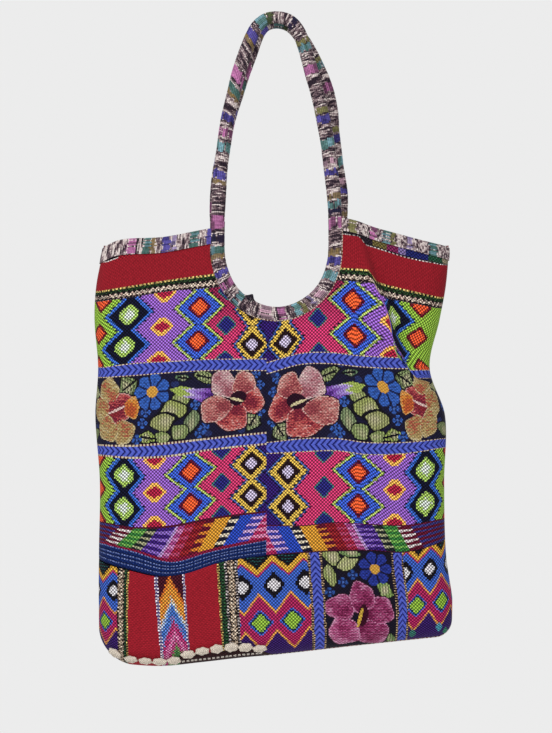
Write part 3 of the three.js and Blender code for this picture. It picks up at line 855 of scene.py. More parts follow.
def turn_drop(across):
    """Where the bottom begins to turn under: its line, lifted by a quarter circle at the lower corners."""
    x = across_to_x(across, FOOT_LEVEL)
    left, right = (through(FOOT_LEVEL, SECTIONS, column) for column in (LEFT, RIGHT))
    into_left = (left + CORNER_RADIUS[0] - x) / CORNER_RADIUS[0]
    into_right = (x - right + CORNER_RADIUS[1]) / CORNER_RADIUS[1]
    into = np.clip(np.maximum(into_left, into_right), 0, 1)
    radius = np.where(into_left > into_right, *CORNER_RADIUS)
    return through(x, BOTTOM_FOLD) - radius * (1 - np.sqrt(1 - into ** 2)) - BOTTOM_TURN


def lower_place(side, across, v):
    """A point of a lower strip: straight down from the waist seam, then a quarter turn under the bag."""
    top = through(across_to_x(across, WAIST_LEVEL), WAIST_SEAM) + SEAM_GAP
    drop = top + (turn_drop(across) - top) * np.minimum(1, v / STRAIGHT_SHARE)
    tuck = np.maximum(0, (v - STRAIGHT_SHARE) / (1 - STRAIGHT_SHARE))
    return wall_point(side, across, drop, tuck), drop, tuck


STRIP_EDGES = np.array([
    # x of each upright band's right edge at the top and at the bottom, in motif units
    (117.5, 115.5), (124.5, 122), (127, 124.5), (129, 126), (153.5, 159), (157.5, 162), (182, 187),
    (184.8, 188.8), (217, 222), (219.2, 224), (224.5, 229.3), (226.8, 231.6), (235, 239.5), (237.8, 241.3),
    (309.2, 312), (311.7, 315), (321.5, 324), (324, 326), (394.5, 394), (396.8, 396.3), (405.4, 404),
    (407.2, 405.8),
])
STRIP_ENDS = (80.0, 470.0)  # x past both ends
STRIP_TOP, STRIP_LONG = 570, 85  # y of the top of that table, and from there to its bottom
STRIP_BANDS = (
    "patch_left", "speckle", "green", "yellow", "red", "border", "flame", "border", "red", "yellow", "green",
    "dots", "speckle", "dots", "patch_middle", "thin", "braid", "thin", "flowers", "thin", "braid", "thin",
    "patch_right",
)
DOTTED_BANDS = {
    # ground, dots, their pitch, and the share of it that a dot fills
    "green": ("#2c5434", "#161c1a", 3.3, 0.4),
    "yellow": ("#4a2420", "#d9bc6c", 2.6, 0.55),
    "border": ("#463c7c", "#e2d8e4", 3.3, 0.55),
    "thin": ("#241824", "#b89c78", 2.5, 0.5),
    "dots": ("#17121a", "#d2c6c4", 3.0, 0.42),
}
ZIGZAG_PATCHES = {
    # x and y of a white diamond, spacing, how fast the rows rise to the right, how tall they are, and how
    # far each unit down moves a column to the left
    "patch_left": (113.2, 591, 26, 0.05, 0.84, -0.04),
    "patch_middle": (274, 585, 32, 0.1, 1, -0.07),
    "patch_right": (407.5, 573.5, 25.5, 0.15, 0.9, 0.16),
}
PATCH_LINES = (
    # how far below a white diamond's middle each zigzag passes it, and how much lower it is at a lime one
    (-28, 14), (27.5, -19.5), (45, 20),
)
PATCH_HALF = 16  # motif units across from a white diamond to a lime one, stretched to each patch's spacing
WHITE_SIZE, LIME_SIZE, LIME_DOWN = (12.4, 13), (12.8, 14.2), 37  # half sizes, and how much lower lime lies
WHITE_RINGS = ((1, "#16121c"), (0.55, "#e2dee2"))  # share of the diamond, colour
LIME_RINGS = ((1, "#3f66c8"), (0.83, "#16244c"), (0.68, "#97c244"))
GREEN_SPOTS = ((437, 628, "#4f9fb4"), (410.5, 635, "#3a7a70"), (445, 634, "#3c8a6c"))  # x, y, colour
STRIP_LEAVES = (
    # x, y, half long, half wide, lean, colour, and whether it has a rib
    (334, 557, 12, 7, 30, "#8f9a5e", False),
    (350, 562, 13, 7, -25, "#a8ad74", False),
    (331, 575, 12, 6, 80, "#8f9a5e", False),
    (352, 552, 11, 5, 10, "#6f8a55", False),
    (385, 590, 8, 6.5, 40, "#7f9a55", False),
    (388, 640, 9, 5, 70, "#6f8a55", False),
)
PLUM = ("#78224c", "#9c3868", "#b05a84", "#d088ae")
MALLOW = ("#8c2e5a", "#b04a7c", "#c46e98", "#dc9cbe")
MAGENTA_MIDDLE = (359.6, 616.6)
MAGENTA_PETALS = (
    # x, y, half long, half wide, lean, tones, heart
    (370.5, 632.5, 17, 14, 0, PLUM, MAGENTA_MIDDLE),
    (378, 610.5, 14, 14, 0, PLUM, MAGENTA_MIDDLE),
    (343, 631, 15.5, 14.5, 30, MALLOW, MAGENTA_MIDDLE),
    (339.5, 607, 15, 12.5, 0, PLUM, MAGENTA_MIDDLE),
    (361, 597, 12.5, 15.5, 0, PLUM, MAGENTA_MIDDLE),
)
MAGENTA_HEART = (
    # x, y, half long, half wide, lean, colour
    (361.5, 615, 11, 5, 98, "#3c0a22"),
    (358.5, 617.5, 10.5, 1.7, 105, "#e0b848"),
)
FLAME_TIP, FLAME_LEAN, FLAME_RAGGED = (169, 575), 0.09, 2.2
FLAME_GROUND = 604  # y where the ground turns from maroon to indigo
FLAME = (
    # chevrons from the tip down: where each begins, its colour
    (0, "#dc742c"), (6, "#eca03e"), (17, "#dc7a2e"), (21, "#e4bc60"), (24, "#d8dce0"), (27, "#8fb2e4"),
    (30, "#4470c4"), (40, "#6c98e0"), (44, "#b42c68"), (52, "#d05694"), (58, "#eaa0c8"), (62, "#b83c7a"),
    (70, "#6f9a5a"), (76, "#3f7a46"),
)
SPECKLE_GROUND = "#1c1418"
SPECKLE = ((-0.2, "#6d5a4c"), (-0.05, "#c4ab92"), (0.35, "#e2d2bc"))  # lightness, colour
HEM_EDGE = np.array([
    # x, share of the turn under from which the hem shows
    (178, 0.3), (255, 0.3), (275, 0.7),
])
DASH_SHIFT, DASH_LINES = 262, (0.55, 0.77)  # x where the line of dashes moves, its share before and after
DASH_HALF, DASH_PITCH, DASH_LONG = 0.046, 4.4, 0.62  # half width, spacing, share of it that a dash fills
RED_DASH_FROM, RED_DASH_GAP = 300, 0.7  # x from which red lies between them, and where in the spacing


def zigzag_patch(x, y, at_x, at_y, spacing, rise, tall, skew):
    """Diamonds between zigzags: going down, black notches, a thick yellow zigzag, blue with white diamonds,
    a thin orange zigzag, magenta with lime diamonds, another thin zigzag, then indigo."""
    turn = (x - at_x + skew * (y - at_y)) / spacing
    off = np.abs(turn - np.round(turn)) * 2
    down = (y - at_y + rise * (x - at_x)) / tall
    yellow, orange, lower = (start + fall * off for start, fall in PATCH_LINES)
    prick = ((np.floor(x / 2) + np.floor(y / 2)) % 2) == 0
    part = plain(x.shape, "#17121c")
    part[(down < yellow - 6.5) & (np.floor(y) % 3 == 0)] = linear("#1f5050")
    part[down > yellow - 3.6] = linear("#e6b040")
    part[(np.abs(down - yellow + 3.6) < 1.4) & prick] = linear("#17121c")
    part[down > yellow + 3.4] = linear("#b42a5e")
    part[down > yellow + 5.6] = linear("#4066c8")
    white = stepped(off * PATCH_HALF, down, *WHITE_SIZE)
    for limit, code in WHITE_RINGS:
        part[white < limit] = linear(code)
    part[down > orange - 1.5] = linear("#e8a24c")
    part[down > orange + 1.7] = linear("#b2285e")
    lime = stepped((1 - off) * PATCH_HALF, down - LIME_DOWN, *LIME_SIZE)
    for limit, code in LIME_RINGS:
        part[lime < limit] = linear(code)
    part[down > lower - 1.5] = linear("#e8a24c")
    part[down > lower + 1.7] = linear("#3a1d68")
    for spot_x, spot_y, code in GREEN_SPOTS:
        part[np.abs(x - spot_x) + 0.7 * np.abs(y - spot_y) < 4] = linear(code)
    return part


def strip_flowers(x, y):
    """The flower patch: leaves above, a royal blue flower and a large magenta hibiscus, yellow stamen."""
    part = plain(x.shape, "#191527")
    leaves(part, x, y, STRIP_LEAVES)
    starlets(part, x, y, ((354, 574.5), (343.5, 582), (329.5, 592)), "#345cac")
    round_flower(part, x, y, (377, 568.8), 17, 7, "#2c3c9c", "#1a1a44", "#e0a848", 5)
    petals(part, x, y, MAGENTA_PETALS, hatch=(0.05, 0.3))
    ovals(part, x, y, MAGENTA_HEART)
    return part


def flame(x, y, ragged):
    """Chevrons in many colours, one in another below a tip, on maroon and indigo, with ragged edges."""
    part = plain(x.shape, "#4a1424")
    part[y > FLAME_GROUND] = linear("#2a2350")
    tip = FLAME_TIP[0] + (y - FLAME_TIP[1]) * FLAME_LEAN
    below = y - FLAME_TIP[1] - STEP * np.abs(np.floor((x - tip) / STEP + 0.5) * STEP)
    part[below > 0] = linear(FLAME[0][1])
    for start, code in FLAME:
        part[(below > 0) & (below + ragged > start)] = linear(code)
    return part


def hem_colours(colour, x, tuck, shade):
    """The dark hem on the turned-under edge, right of the edging's first four puffs, with a line of pale
    dashes."""
    hem = (x > HEM_EDGE[0, 0]) & (tuck > np.interp(x, *HEM_EDGE.T))
    colour[hem] = linear("#1c1216") + 0.08 * shade[hem] * linear("#c04a3a")
    dashes = hem & (np.abs(tuck - np.where(x < DASH_SHIFT, *DASH_LINES)) < DASH_HALF)
    spaced = (x / DASH_PITCH) % 1
    colour[dashes & (spaced < DASH_LONG)] = linear("#ddd3c8")
    colour[dashes & (x > RED_DASH_FROM) & (spaced > RED_DASH_GAP)] = linear("#a83038")


def strip_colours(x, y, tuck):
    """Each stitch's colour, and how strongly its painted stitch shade and highlight show, by the upright
    band that it lies in.
    """
    share = np.clip((y - STRIP_TOP) / STRIP_LONG, -0.3, 1.4)
    edges = STRIP_EDGES[:, :1, None] + (STRIP_EDGES[:, 1:, None] - STRIP_EDGES[:, :1, None]) * share
    band = (x > edges).sum(0)
    first, last = (np.full((1, *x.shape), end) for end in STRIP_ENDS)
    edges = np.concatenate([first, edges, last])
    left, right = (np.take_along_axis(edges, band[None] + k, 0)[0] for k in (0, 1))
    level = (x - left) / (right - left)
    chance = np.random.default_rng(17)
    colour, deep = np.zeros((*x.shape, 3)), np.zeros(x.shape)
    for number, name in enumerate(STRIP_BANDS):
        if name in ZIGZAG_PATCHES:
            part = zigzag_patch(x, y, *ZIGZAG_PATCHES[name])
        elif name == "flowers":
            part = strip_flowers(x, y)
        elif name == "flame":
            part = flame(x, y, chance.normal(0, FLAME_RAGGED, x.shape))
        elif name == "braid":
            part = chevrons(y * PIXEL, level, 6.4)
        elif name == "red":
            # Every second row lighter and the next darker: painted light and shade of the red's ribs.
            rib_shade = 1 + 0.15 * (-1.0) ** np.arange(x.shape[0])[:, None, None]
            part = plain(x.shape, "#ae2130") * rib_shade
        elif name == "speckle":
            aside = np.abs(level - 0.5)
            wave = 0.6 + 0.32 * np.sin(2 * np.pi * (y + 3 * aside) / 4.4)
            light = wave - chance.random(x.shape) - 2.4 * np.maximum(0, aside - 0.22)
            part = plain(x.shape, SPECKLE_GROUND)
            for start, code in SPECKLE:
                part[light > start] = linear(code)
        else:
            ground, dot, pitch, filled = DOTTED_BANDS[name]
            part = plain(x.shape, ground)
            part[(y / pitch) % 1 < filled] = linear(dot)
        where = band == number
        colour[where] = part[where]
        deep[where] = STITCH_SHADE.get(name, 0.9)
    hem_colours(colour, x, tuck, chance.random((*x.shape, 1)))
    return colour, deep


MOTIF_ORIGIN, MOTIF_AT = (276, 366.5), (4.4, 376.3)  # a place in the strip's tables, and its x and drop
# Mm of cloth to a whole turn under: its far half adds to the chart, and all of it to the stitches.
FAR_CLOTH, TURN_CLOTH = 10, 12


def lower_strip(name, side, stitch):
    """A lower strip's mesh and chart: rows down the cloth, columns from left to right. The back one carries
    the same cloth, seen from behind."""
    columns, rows = round(STRIP_WIDTH / stitch), round(STRIP_HEIGHT / stitch)
    across, v = np.meshgrid(np.linspace(-1, 1, columns + 1), np.linspace(0, 1, rows + 1))
    points, drop, tuck = lower_place(side, across, v)
    down = drop + BOTTOM_TURN * np.sin(tuck * np.pi / 2) + FAR_CLOTH * np.maximum(0, tuck - 0.5)
    flat_x = CENTRE_SEAM_X + np.sign(across) * cloth_reach(across, STRIP_LEVEL)
    x, y = (start + (place - at) / PIXEL for start, place, at in zip(MOTIF_ORIGIN, (flat_x, down), MOTIF_AT))
    points[..., 1] -= side * WAIST_GROOVE * bell(drop - drop[:1], WAIST_WIDTH) * (tuck == 0)
    colour, depth = strip_colours(cell_middle(x), cell_middle(y), cell_middle(tuck))
    uv = np.stack([down + TURN_CLOTH * tuck, flat_x], -1) / STITCH_PITCH
    piece = cloth_piece(f"{name}_lower_strip", points, uv, colour, side > 0, huipil, depth)
    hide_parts(f"{name}_lower")


lower_strip("front", -1, STITCH)


# The back wall: two more huipil halves and a lower strip of the same cloths, without the pleat. Their bands
# run level and their diamonds are evenly spaced.
BACK_STITCH = 1.4
BACK_BANDS = (
    ("top", None), ("red", (242, 238, 242)), ("stripes", (274, 270, 274)),
    ("upper_diamonds", (288, 284, 288)), ("braid", (364, 360, 364)), ("flowers", (377, 373, 377)),
    ("braid", (452, 448, 452)), ("lower_diamonds", (466, 462, 466)), ("slanted", (544, 540, 544)),
)
BACK_CENTRES = 18 + 36 * np.arange(6)
BACK_CHART = (BACK_BANDS, (-200.0, 0, 200), BACK_CENTRES, BACK_CENTRES, 0)
for word in ("left", "right"):
    piece = wall_half("back", word, BACK_STITCH, *BACK_CHART)
lower_strip("back", 1, BACK_STITCH)


# The top bands: bias strips of jaspe, cotton whose threads are tie-dyed before weaving, folded over the
# mouth's edge from the scoop to the side seam and sewn down on both faces.
DYES = {
    # two shades of each dye, which change from thread to thread
    "orchid": ("#a46490", "#7c4c6c"), "teal": ("#5c7e86", "#4c6e68"), "ochre": ("#75644c", "#86704a"),
    "violet": ("#524a90", "#403a7a"), "olive": ("#6c6844", "#84805a"), "pink": ("#b08c9c", "#8e7480"),
    "navy": ("#23223a", "#332a44"), "aqua": ("#6e949e", "#5c8280"), "lilac": ("#8d7d9e", "#6f6488"),
    "moss": ("#3f4a34", "#59603e"),
}
FLECKS = ((-0.8, "#4c3d44"), (-0.2, "#736064"), (0.35, "#9c8b8c"), (1.0, "#cbbeba"))  # lightness, colour
BAND_HEIGHT = {-1: 16, 1: 12.8}  # left, right
BAND_RUN = {-1: 3, 1: 1}  # threads to a fleck: left, right
BAND_OVER = 2.0  # radius of the fold over the edge
BAND_LOW, BAND_IN = 1.0, 0.8  # mm from the mouth's edge down to the fold, and from the wall's face in
BAND_ROWS, BAND_STEPS = 40, 150
MOUTH_LEVEL = 244.0  # drop at which places across are taken
PICK = 1.25  # mm from one weft pick to the next
JASPE_PITCH = 1.6  # mm to a stitch of the plain weave


def jaspe_colours(along, threads, blocks, seed, slant=0, run=3, pale=0.1):
    """Tie-dyed strip: every pick is a run of dark and light flecks, as many threads long as given, and
    blocks of one dye lie across it in lengthwise shades, with ragged ends and some threads undyed. Slant
    moves the picks along the strip, place by place, and pale makes more of them light."""
    chance = np.random.default_rng(seed)
    place = along[:, None] + slant + np.zeros((1, threads))
    streak = chance.normal(0, 1, (int(np.ptp(place) / PICK) + 2, threads))
    streak = sum(np.roll(streak, k, 1) for k in range(-run, run + 1)) / np.sqrt(2 * run + 1)
    streak = streak + 0.4 * np.sin(np.arange(len(streak)) * 0.6)[:, None] + pale
    fleck = streak[((place - place.min()) / PICK).astype(int), np.arange(threads)[None]]
    colour = plain(fleck.shape, "#281e28")
    for start, code in FLECKS:
        colour[fleck > start] = linear(code)
    for at, long, dye in blocks:
        shade = np.repeat(chance.random((1, threads // 2 + 1)), 2, 1)[:, :threads]
        ragged = 3.2 * (shade - 0.5) + 0.6 * np.clip(fleck, -1, 1)
        inside = (np.abs(place + ragged - at) < long / 2) & (chance.random((1, threads)) > 0.08)
        dyed = np.where(shade[..., None] > 0.45, *map(linear, DYES[dye]))
        tone = 0.85 + 0.12 * np.clip(fleck, -1.6, 1.6) + 0.45 * (shade - 0.5)
        colour[inside] = (dyed * tone[..., None])[inside]
    return colour


def wall_normal(side, across, drop):
    """Outward direction of a wall, from small steps across and down."""
    ahead, behind = np.minimum(1, across + 0.003), np.maximum(-1, across - 0.003)
    right = wall_point(side, ahead, drop) - wall_point(side, behind, drop)
    down = wall_point(side, across, drop + 0.6) - wall_point(side, across, drop - 0.6)
    normal = side * np.cross(right, down)
    return normal / np.linalg.norm(normal, axis=-1, keepdims=True)


# Plain-woven cotton, smoother than the brocade, its picks in low ribs with painted shade between them.
jaspe = woven_cotton(
    "tie-dyed jaspe cotton", rib=0.66, prick=0.72, turn=0, sheen=0.05, roughness=0.85, relief=0.15)
BAND_BLOCKS = {
    # mm along from the scoop, length, dye
    -1: ((8.3, 10, "violet"), (26, 9.4, "teal"), (49, 5, "lilac"), (57, 8, "violet"), (71, 4.5, "ochre"),
         (77.5, 8, "teal"), (95.4, 9.5, "orchid")),
    1: ((18.6, 8, "olive"), (41.8, 6.5, "orchid"), (56.3, 8, "teal"), (63.5, 4.5, "olive"),
        (81.6, 6, "lilac"), (107.3, 9, "teal")),
}


def top_band(name, side, half, seed):
    """A strip folded over the mouth's edge: up the outer face, half a circle over the edge and down the
    inner face."""
    middle, wide = SCOOPS[side]
    start = np.abs(middle + half * wide - CENTRE_SEAM_X)
    first = start / np.abs(across_to_x(half * FLAT_SHARE, MOUTH_LEVEL) - CENTRE_SEAM_X) * FLAT_SHARE
    across = half * np.linspace(first, 1, BAND_STEPS + 1)[None, ::half]
    mouth_x = across_to_x(across, MOUTH_LEVEL)
    leg = BAND_HEIGHT[half]
    trip = np.linspace(0, 2 * leg + np.pi * BAND_OVER, BAND_ROWS + 1)[:, None]
    angle = np.clip((trip - leg) / BAND_OVER, 0, np.pi)
    fall = np.maximum(0, leg - trip) + np.maximum(0, trip - leg - np.pi * BAND_OVER)
    drop = through(mouth_x, MOUTH_EDGE) + BAND_LOW + fall
    across = np.broadcast_to(across, drop.shape)
    puff = 0.25 * np.sin(trip / leg * np.pi) ** 2 + 0.2 * np.sin(across * 190 / 5.5)
    offset = -BAND_IN + (BAND_OVER + puff) * np.cos(angle)
    points = wall_point(side, across, drop) + wall_normal(side, across, drop) * offset[..., None]
    points[..., 2] += BAND_OVER * np.sin(angle)
    along = np.abs(mouth_x[0] - CENTRE_SEAM_X) - start
    along = (along[1:] + along[:-1]) / 2
    colour = jaspe_colours(along, BAND_ROWS, BAND_BLOCKS[half], seed, run=BAND_RUN[half], pale=0.4)
    uv = [np.broadcast_to(trip, drop.shape), cloth_reach(across, MOUTH_LEVEL)]
    uv = np.stack(uv, -1) / JASPE_PITCH
    piece = cloth_piece(f"{name}_fold", points, uv, colour.transpose(1, 0, 2), side < 0, jaspe)
    wall = piece.modifiers.new("thickness", "SOLIDIFY")
    wall.thickness = 0.0008
    wall.offset = -1
    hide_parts(name)


TOP_BANDS = (
    # name, side, half, seed
    ("front_left_top_band", -1, -1, 11),
    ("front_right_top_band", -1, 1, 12),
    ("back_left_top_band", 1, -1, 13),
    ("back_right_top_band", 1, 1, 14),
)
for row in TOP_BANDS:
    top_band(*row)


# The neck bindings: jaspe rolled over each scoop's raw edge with a thin wadding. Its ends lap low on the
# left, in a small bunch of dark folds.
BINDING_SIZE = (16.5, 9.0)  # wide, thick
BINDING_END = (16.0, 11.5)
JOIN_REACH = 34  # mm over which a roll eases to the size of its ends
ROLL_STEP = 1.1  # mm of roll to a ring of the mesh
ROLL_SIDES = 32
LUMP_TURN = 0.55  # radians of a lump's curve round the roll
SCOOP_OVER = (8, 4)  # mm that the binding's left and right ends stand above the mouth's edge
BINDING_IN = 1.0  # mm of its centre line behind the wall's face
PICK_LEAN = 7  # mm that a pick moves along the roll, from its middle to its side, at a lean of 1
ROLL_RADIUS = 6  # mm, for the stitches round it


def scoop_path(side):
    """The binding's centre line: down the left of the scoop, round half an ellipse and up the right, in the
    cloth."""
    middle, half = SCOOPS[side]
    left, right = middle - half, middle + half
    rise = np.linspace(0, 1, 30)[:-1]
    top_left, top_right = (through(x, MOUTH_EDGE) - over for x, over in zip((left, right), SCOOP_OVER))
    angle = np.linspace(0, np.pi, 240)
    x = np.concatenate([0 * rise + left, middle - half * np.cos(angle), 0 * rise + right])
    down = top_left + (SCOOP_DROP - top_left) * rise
    up = SCOOP_DROP + (top_right - SCOOP_DROP) * (rise + rise[1])
    drop = np.concatenate([down, SCOOP_DROP + SCOOP_DEEP * np.sin(angle), up])
    flat = np.abs(across_to_x(np.sign(x - CENTRE_SEAM_X) * FLAT_SHARE, drop) - CENTRE_SEAM_X)
    wall = wall_point(side, (x - CENTRE_SEAM_X) / flat * FLAT_SHARE, drop)
    return np.stack([x, wall[:, 1] - side * BINDING_IN, -drop], 1)


def even_path(points, step):
    """A path sampled again at even steps along the smooth curve through its points, and the lengths
    there."""
    def lengths(line):
        """Length along a line of points at each of them."""
        return np.concatenate([[0], np.cumsum(np.linalg.norm(np.diff(line, axis=0), axis=1))])

    chord = lengths(points)
    fine = np.linspace(0, chord[-1], 4000)
    curve = np.stack([through(fine, np.stack([chord, points[:, k]], 1)) for k in range(3)], 1)
    length = lengths(curve)
    at = np.linspace(0, length[-1], round(length[-1] / step) + 1)
    return np.stack([np.interp(at, length, curve[:, k]) for k in range(3)], 1), at


def unit(vectors):
    """Vectors brought to length 1."""
    return vectors / np.linalg.norm(vectors, axis=-1, keepdims=True)


def roll(name, path, at, size, lumps, blocks, seed, lean, pale, stitch_turn=None):
    """A padded roll: an oval carried along a path, its width in the path's plane and its thickness along Y,
    creased by fine gathers, with lumps as bells in length and angle; both ends close to a point. Its picks
    lean across it as a table along it says, and a line of stitches may run at one angle."""
    wide, thick = size
    chance = np.random.default_rng(seed)
    ahead = unit(np.gradient(path, axis=0))
    out = unit(np.array([0, 1, 0]) - ahead * ahead[:, 1:2])
    aside = np.cross(ahead, out)
    angle = np.linspace(0, 2 * np.pi, ROLL_SIDES + 1)[None]
    gather = np.convolve(chance.normal(0, 1, len(at)), np.hanning(5), "same")[:, None]
    swell = 0.05 * gather + 0.2 * np.sin(at[:, None] / 9.3 + 2 * np.sin(angle))
    swell = swell - 0.5 * bell(angle - np.pi / 2, 0.12)
    for place, turn, high, reach in lumps:
        swell = swell + high * bell(at[:, None] - place, reach) * bell(angle - turn, LUMP_TURN)
    ends = np.ones((len(at), 1))
    ends[[0, -1]] = 0
    round_out = (thick[:, None] / 2 + swell) * np.cos(angle) * ends
    round_aside = (wide[:, None] / 2 + swell) * np.sin(angle) * ends
    points = path[:, None] + round_out[..., None] * out[:, None] + round_aside[..., None] * aside[:, None]
    middles = (at[1:] + at[:-1]) / 2
    turns = (angle[:, 1:] + angle[:, :-1]) / 2
    slant = np.interp(middles, *lean.T)[:, None] * PICK_LEAN * np.sin(turns)
    colour = jaspe_colours(middles, ROLL_SIDES, blocks, seed, slant, pale=pale)
    for place, turn, _, reach in lumps[:1]:
        knot = bell(middles[:, None] - place, reach) * bell(turns - turn, LUMP_TURN) > 0.12
        colour[knot] = 0.14 * colour[knot] + linear("#12101c")
    if stitch_turn:
        line = round(stitch_turn / (2 * np.pi) * ROLL_SIDES)
        dash = np.where((middles / 3.4 % 1 < 0.6)[:, None, None], linear("#e4d2c0"), linear("#6a4238"))
        sewn = middles > middles[-1] * 0.4
        colour[sewn, line:line + 2] = dash[sewn]
    uv = np.stack([angle * ROLL_RADIUS + 0 * at[:, None], at[:, None] + 0 * angle], -1) / JASPE_PITCH
    number = np.arange(len(at) * (ROLL_SIDES + 1)).reshape(len(at), ROLL_SIDES + 1)
    number[:, -1] = number[:, 0]
    faces = number.ravel()[grid_faces(len(at) - 1, ROLL_SIDES)]
    piece = put_mesh(name, points, faces, uv, colour.reshape(-1, 3), jaspe)
    return piece


def section_sizes(at, size, end):
    """Width and thickness along a roll: its own size, eased to the size of its ends."""
    share = ease(np.minimum(at, at[-1] - at), 0, JOIN_REACH)
    return [end[k] + (size[k] - end[k]) * share for k in (0, 1)]


BINDING_BLOCKS = (
    # mm along from the left shoulder, length, dye
    (4, 12, "orchid"), (20, 8, "navy"), (33, 8, "teal"), (41, 6, "ochre"), (60, 6, "violet"),
    (73, 8, "orchid"), (93, 9, "teal"), (128, 13, "pink"), (145, 9, "orchid"), (163, 7, "aqua"),
    (170, 5, "olive"), (181, 4, "lilac"), (193, 10, "pink"), (216, 10, "aqua"), (234, 10, "violet"),
    (243, 7, "ochre"), (276, 12, "orchid"),
)
LAP_LUMPS = (
    # mm along, angle, height, reach; the first is the dark bunch
    (103.5, 1.8, 5.6, 4.4), (98, 3.0, 1.8, 4), (113, 2.6, 2.2, 3.5), (118, 3.6, 1.6, 3.5), (97, 2.4, 1.2, 4),
)
BINDING_LEAN = np.array([
    # mm along, lean
    (0, 0.1), (120, 0.2), (280, 0.3),
])
BINDING_PALE = -0.05
BINDINGS = (
    # wall, side, lumps, seed, turn of the line of stitches
    ("front", -1, LAP_LUMPS, 20, 1.31 * np.pi),
    ("back", 1, (), 22, 1.63 * np.pi),
)
for name, side, lumps, seed, stitch_turn in BINDINGS:
    path, at = even_path(scoop_path(side)[::4], ROLL_STEP)
    size = section_sizes(at, BINDING_SIZE, BINDING_END)
    piece = roll(f"{name}_binding_roll", path, at, size, lumps, BINDING_BLOCKS, seed, BINDING_LEAN,
                 BINDING_PALE, stitch_turn)
    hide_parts(f"{name}_neck_binding")


# The handles: jaspe sewn into a long tube over cotton wadding, one on each wall, running on from the ends of
# its binding. They meet side by side at the top, the back one a little to the right.
STRAP_SIZE = (15.5, 13.0)  # wide, thick
STRAP_END = (15.3, 10.8)
STRAP_NIP, STRAP_NIP_REACH = 2.2, 34  # how much narrower it is at the top, and how far along
STRAP_APEX_Y = 7.2  # mm of each handle from the middle, at the top
BLOCKS_SHIFT = 17  # mm along that the back handle's dyes lie further
HANDLE_ROUTE = np.array([
    # x, z, back one's shift
    (-58.7, -199, -4), (-57.2, -171, -3.5), (-53.5, -138, -2), (-48.3, -105, -1), (-39.5, -66, 2),
    (-29, -31, 4), (-18.5, -7, 2.5), (-8, 3.5, 1), (5.2, 6.6, 1), (18.6, 3.2, 1), (28, -7, 2), (36.3, -28, 7),
    (44.8, -58, 12.5), (53, -90, 13), (58.5, -117, 9.5), (63, -148, 9), (67, -182, 10),
], float)
STRAP_BLOCKS = (
    # mm along from the left shoulder, length, dye
    (3, 12, "orchid"), (46, 4, "ochre"), (54, 9, "violet"), (84, 10, "aqua"), (101, 9, "orchid"),
    (117, 8, "violet"), (142, 5, "ochre"), (148, 9, "teal"), (166, 14, "orchid"), (206, 5, "ochre"),
    (214, 10, "violet"), (232, 12, "aqua"), (242, 7, "moss"), (270, 6, "navy"), (294, 6, "olive"),
    (301, 8, "teal"), (326, 10, "orchid"), (374, 6, "olive"), (383, 9, "violet"), (410, 10, "aqua"),
    (432, 6, "pink"), (443, 6, "violet"), (470, 6, "ochre"), (478, 7, "aqua"), (485, 5, "navy"),
)
STRAP_LEAN = np.array([
    # mm along, lean
    (0, 0), (80, -0.25), (120, -0.4), (150, -1.0), (200, -0.9), (235, -0.2), (270, 0.1), (480, 0.1),
])
STRAP_PALE = -0.15
STRAPS = (
    # wall, side, whether it lies aside, lift, seed
    ("front", -1, 0, 3.2, 30),
    ("back", 1, 1, 0.6, 32),
)
for name, side, aside, lift, seed in STRAPS:
    ends = scoop_path(side)[[3, -4]]
    x, z, shift = HANDLE_ROUTE.T
    apex = side * STRAP_APEX_Y
    y = apex + (ends[0, 1] - apex) * ease(-z, 20, 219)
    route = np.stack([x + aside * shift, y, z + lift], 1)
    path, at = even_path(np.concatenate([ends[:1], route, ends[1:]]), ROLL_STEP)
    wide, thick = section_sizes(at, STRAP_SIZE, STRAP_END)
    wide = wide - STRAP_NIP * bell(at - at[-1] / 2, STRAP_NIP_REACH)
    blocks = [(place + BLOCKS_SHIFT * aside, long, dye) for place, long, dye in STRAP_BLOCKS]
    piece = roll(f"{name}_strap", path, at, (wide, thick), (), blocks, seed, STRAP_LEAN, STRAP_PALE)
    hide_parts(f"{name}_handle")


# The cotton edging: eleven puffs of crocheted white cotton, hand-sewn side by side along the left of the
# front's bottom fold.
PUFFS, EDGING_FROM, EDGING_TO = 11, -163.5, -13  # how many, and x of the first and the last
EDGING_LINE = np.array([
    # share along, share of the way down the strip
    (0, 0.78), (0.4, 0.788), (0.52, 0.735), (0.8, 0.72), (1, 0.758),
])
PUFF_SIZE = (15.0, 10.0, 5.5)  # along, up, thick
PUFF_OUT = 3.1  # mm from the cloth to a puff's middle
PUFF_ROWS, PUFF_SIDES = 16, 32


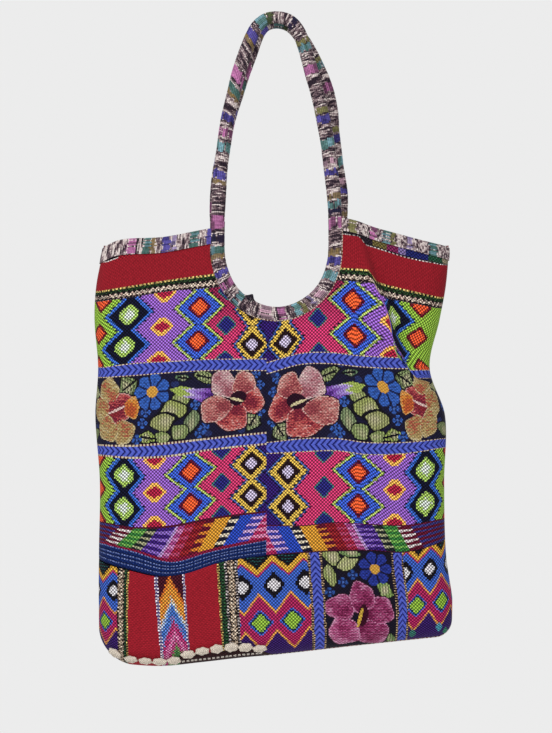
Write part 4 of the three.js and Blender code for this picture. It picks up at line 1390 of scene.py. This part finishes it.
def edging_places(share):
    """Centre, direction along, outward direction and direction up of the edging at shares of its length."""
    x = EDGING_FROM + (EDGING_TO - EDGING_FROM) * share
    u = -(CENTRE_SEAM_X - x) / (CENTRE_SEAM_X - through(FOOT_LEVEL, SECTIONS, LEFT))
    v = through(share, EDGING_LINE)
    along = unit(lower_place(-1, u + 0.01, v)[0] - lower_place(-1, u - 0.01, v)[0])
    down = lower_place(-1, u, v + 0.01)[0] - lower_place(-1, u, v - 0.01)[0]
    out = unit(-np.cross(along, down))
    return lower_place(-1, u, v)[0] + out * PUFF_OUT, along, out, -np.cross(along, out)


centre, along, out, up = edging_places(np.linspace(0, 1, PUFFS))
chance = np.random.default_rng(5)
ring, rise = np.meshgrid(np.linspace(0, 2 * np.pi, PUFF_SIDES + 1), np.linspace(0, np.pi, PUFF_ROWS + 1))
size = np.array(PUFF_SIZE) / 2 * chance.uniform(0.9, 1.08, (PUFFS, 3))
shift = chance.uniform(0, 6, (PUFFS, 1, 1))
pucker = 1 + 0.09 * np.cos(6 * ring + shift) * np.sin(rise) + 0.04 * np.sin(11 * ring + 7 * rise + shift)
shape = np.stack([np.sin(rise) * np.cos(ring), np.sin(rise) * np.sin(ring), np.cos(rise)], -1)
local = shape * pucker[..., None] * size[:, None, None]
basis = np.stack([along, up, out], 1)
lumps = centre[:, None, None] + np.einsum("nijk,nkl->nijl", local, basis)
number = np.arange(ring.size).reshape(ring.shape)
number[:, -1] = number[:, 0]
number[0], number[-1] = number[0, 0], number[-1, 0]
one = number.ravel()[grid_faces(PUFF_ROWS, PUFF_SIDES)]
faces = (one[None] + ring.size * np.arange(PUFFS)[:, None, None]).reshape(-1, 4)
uv = np.broadcast_to(np.stack([ring * 2, rise * 4], -1), (PUFFS, *ring.shape, 2))
tone = chance.normal(1, 0.07, (len(faces), 1))
# Crocheted cotton: soft and dull, off-white, in small even loops drawn with painted shade and highlight.
crochet = woven_cotton("crocheted white cotton", rib=0.62, prick=0.62, sheen=0.05, roughness=0.9, relief=0.5)
edging = put_mesh("cotton_edging_puffs", lumps, faces, uv, linear("#d8ccbc") * tone, crochet)
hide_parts("cotton_edging")
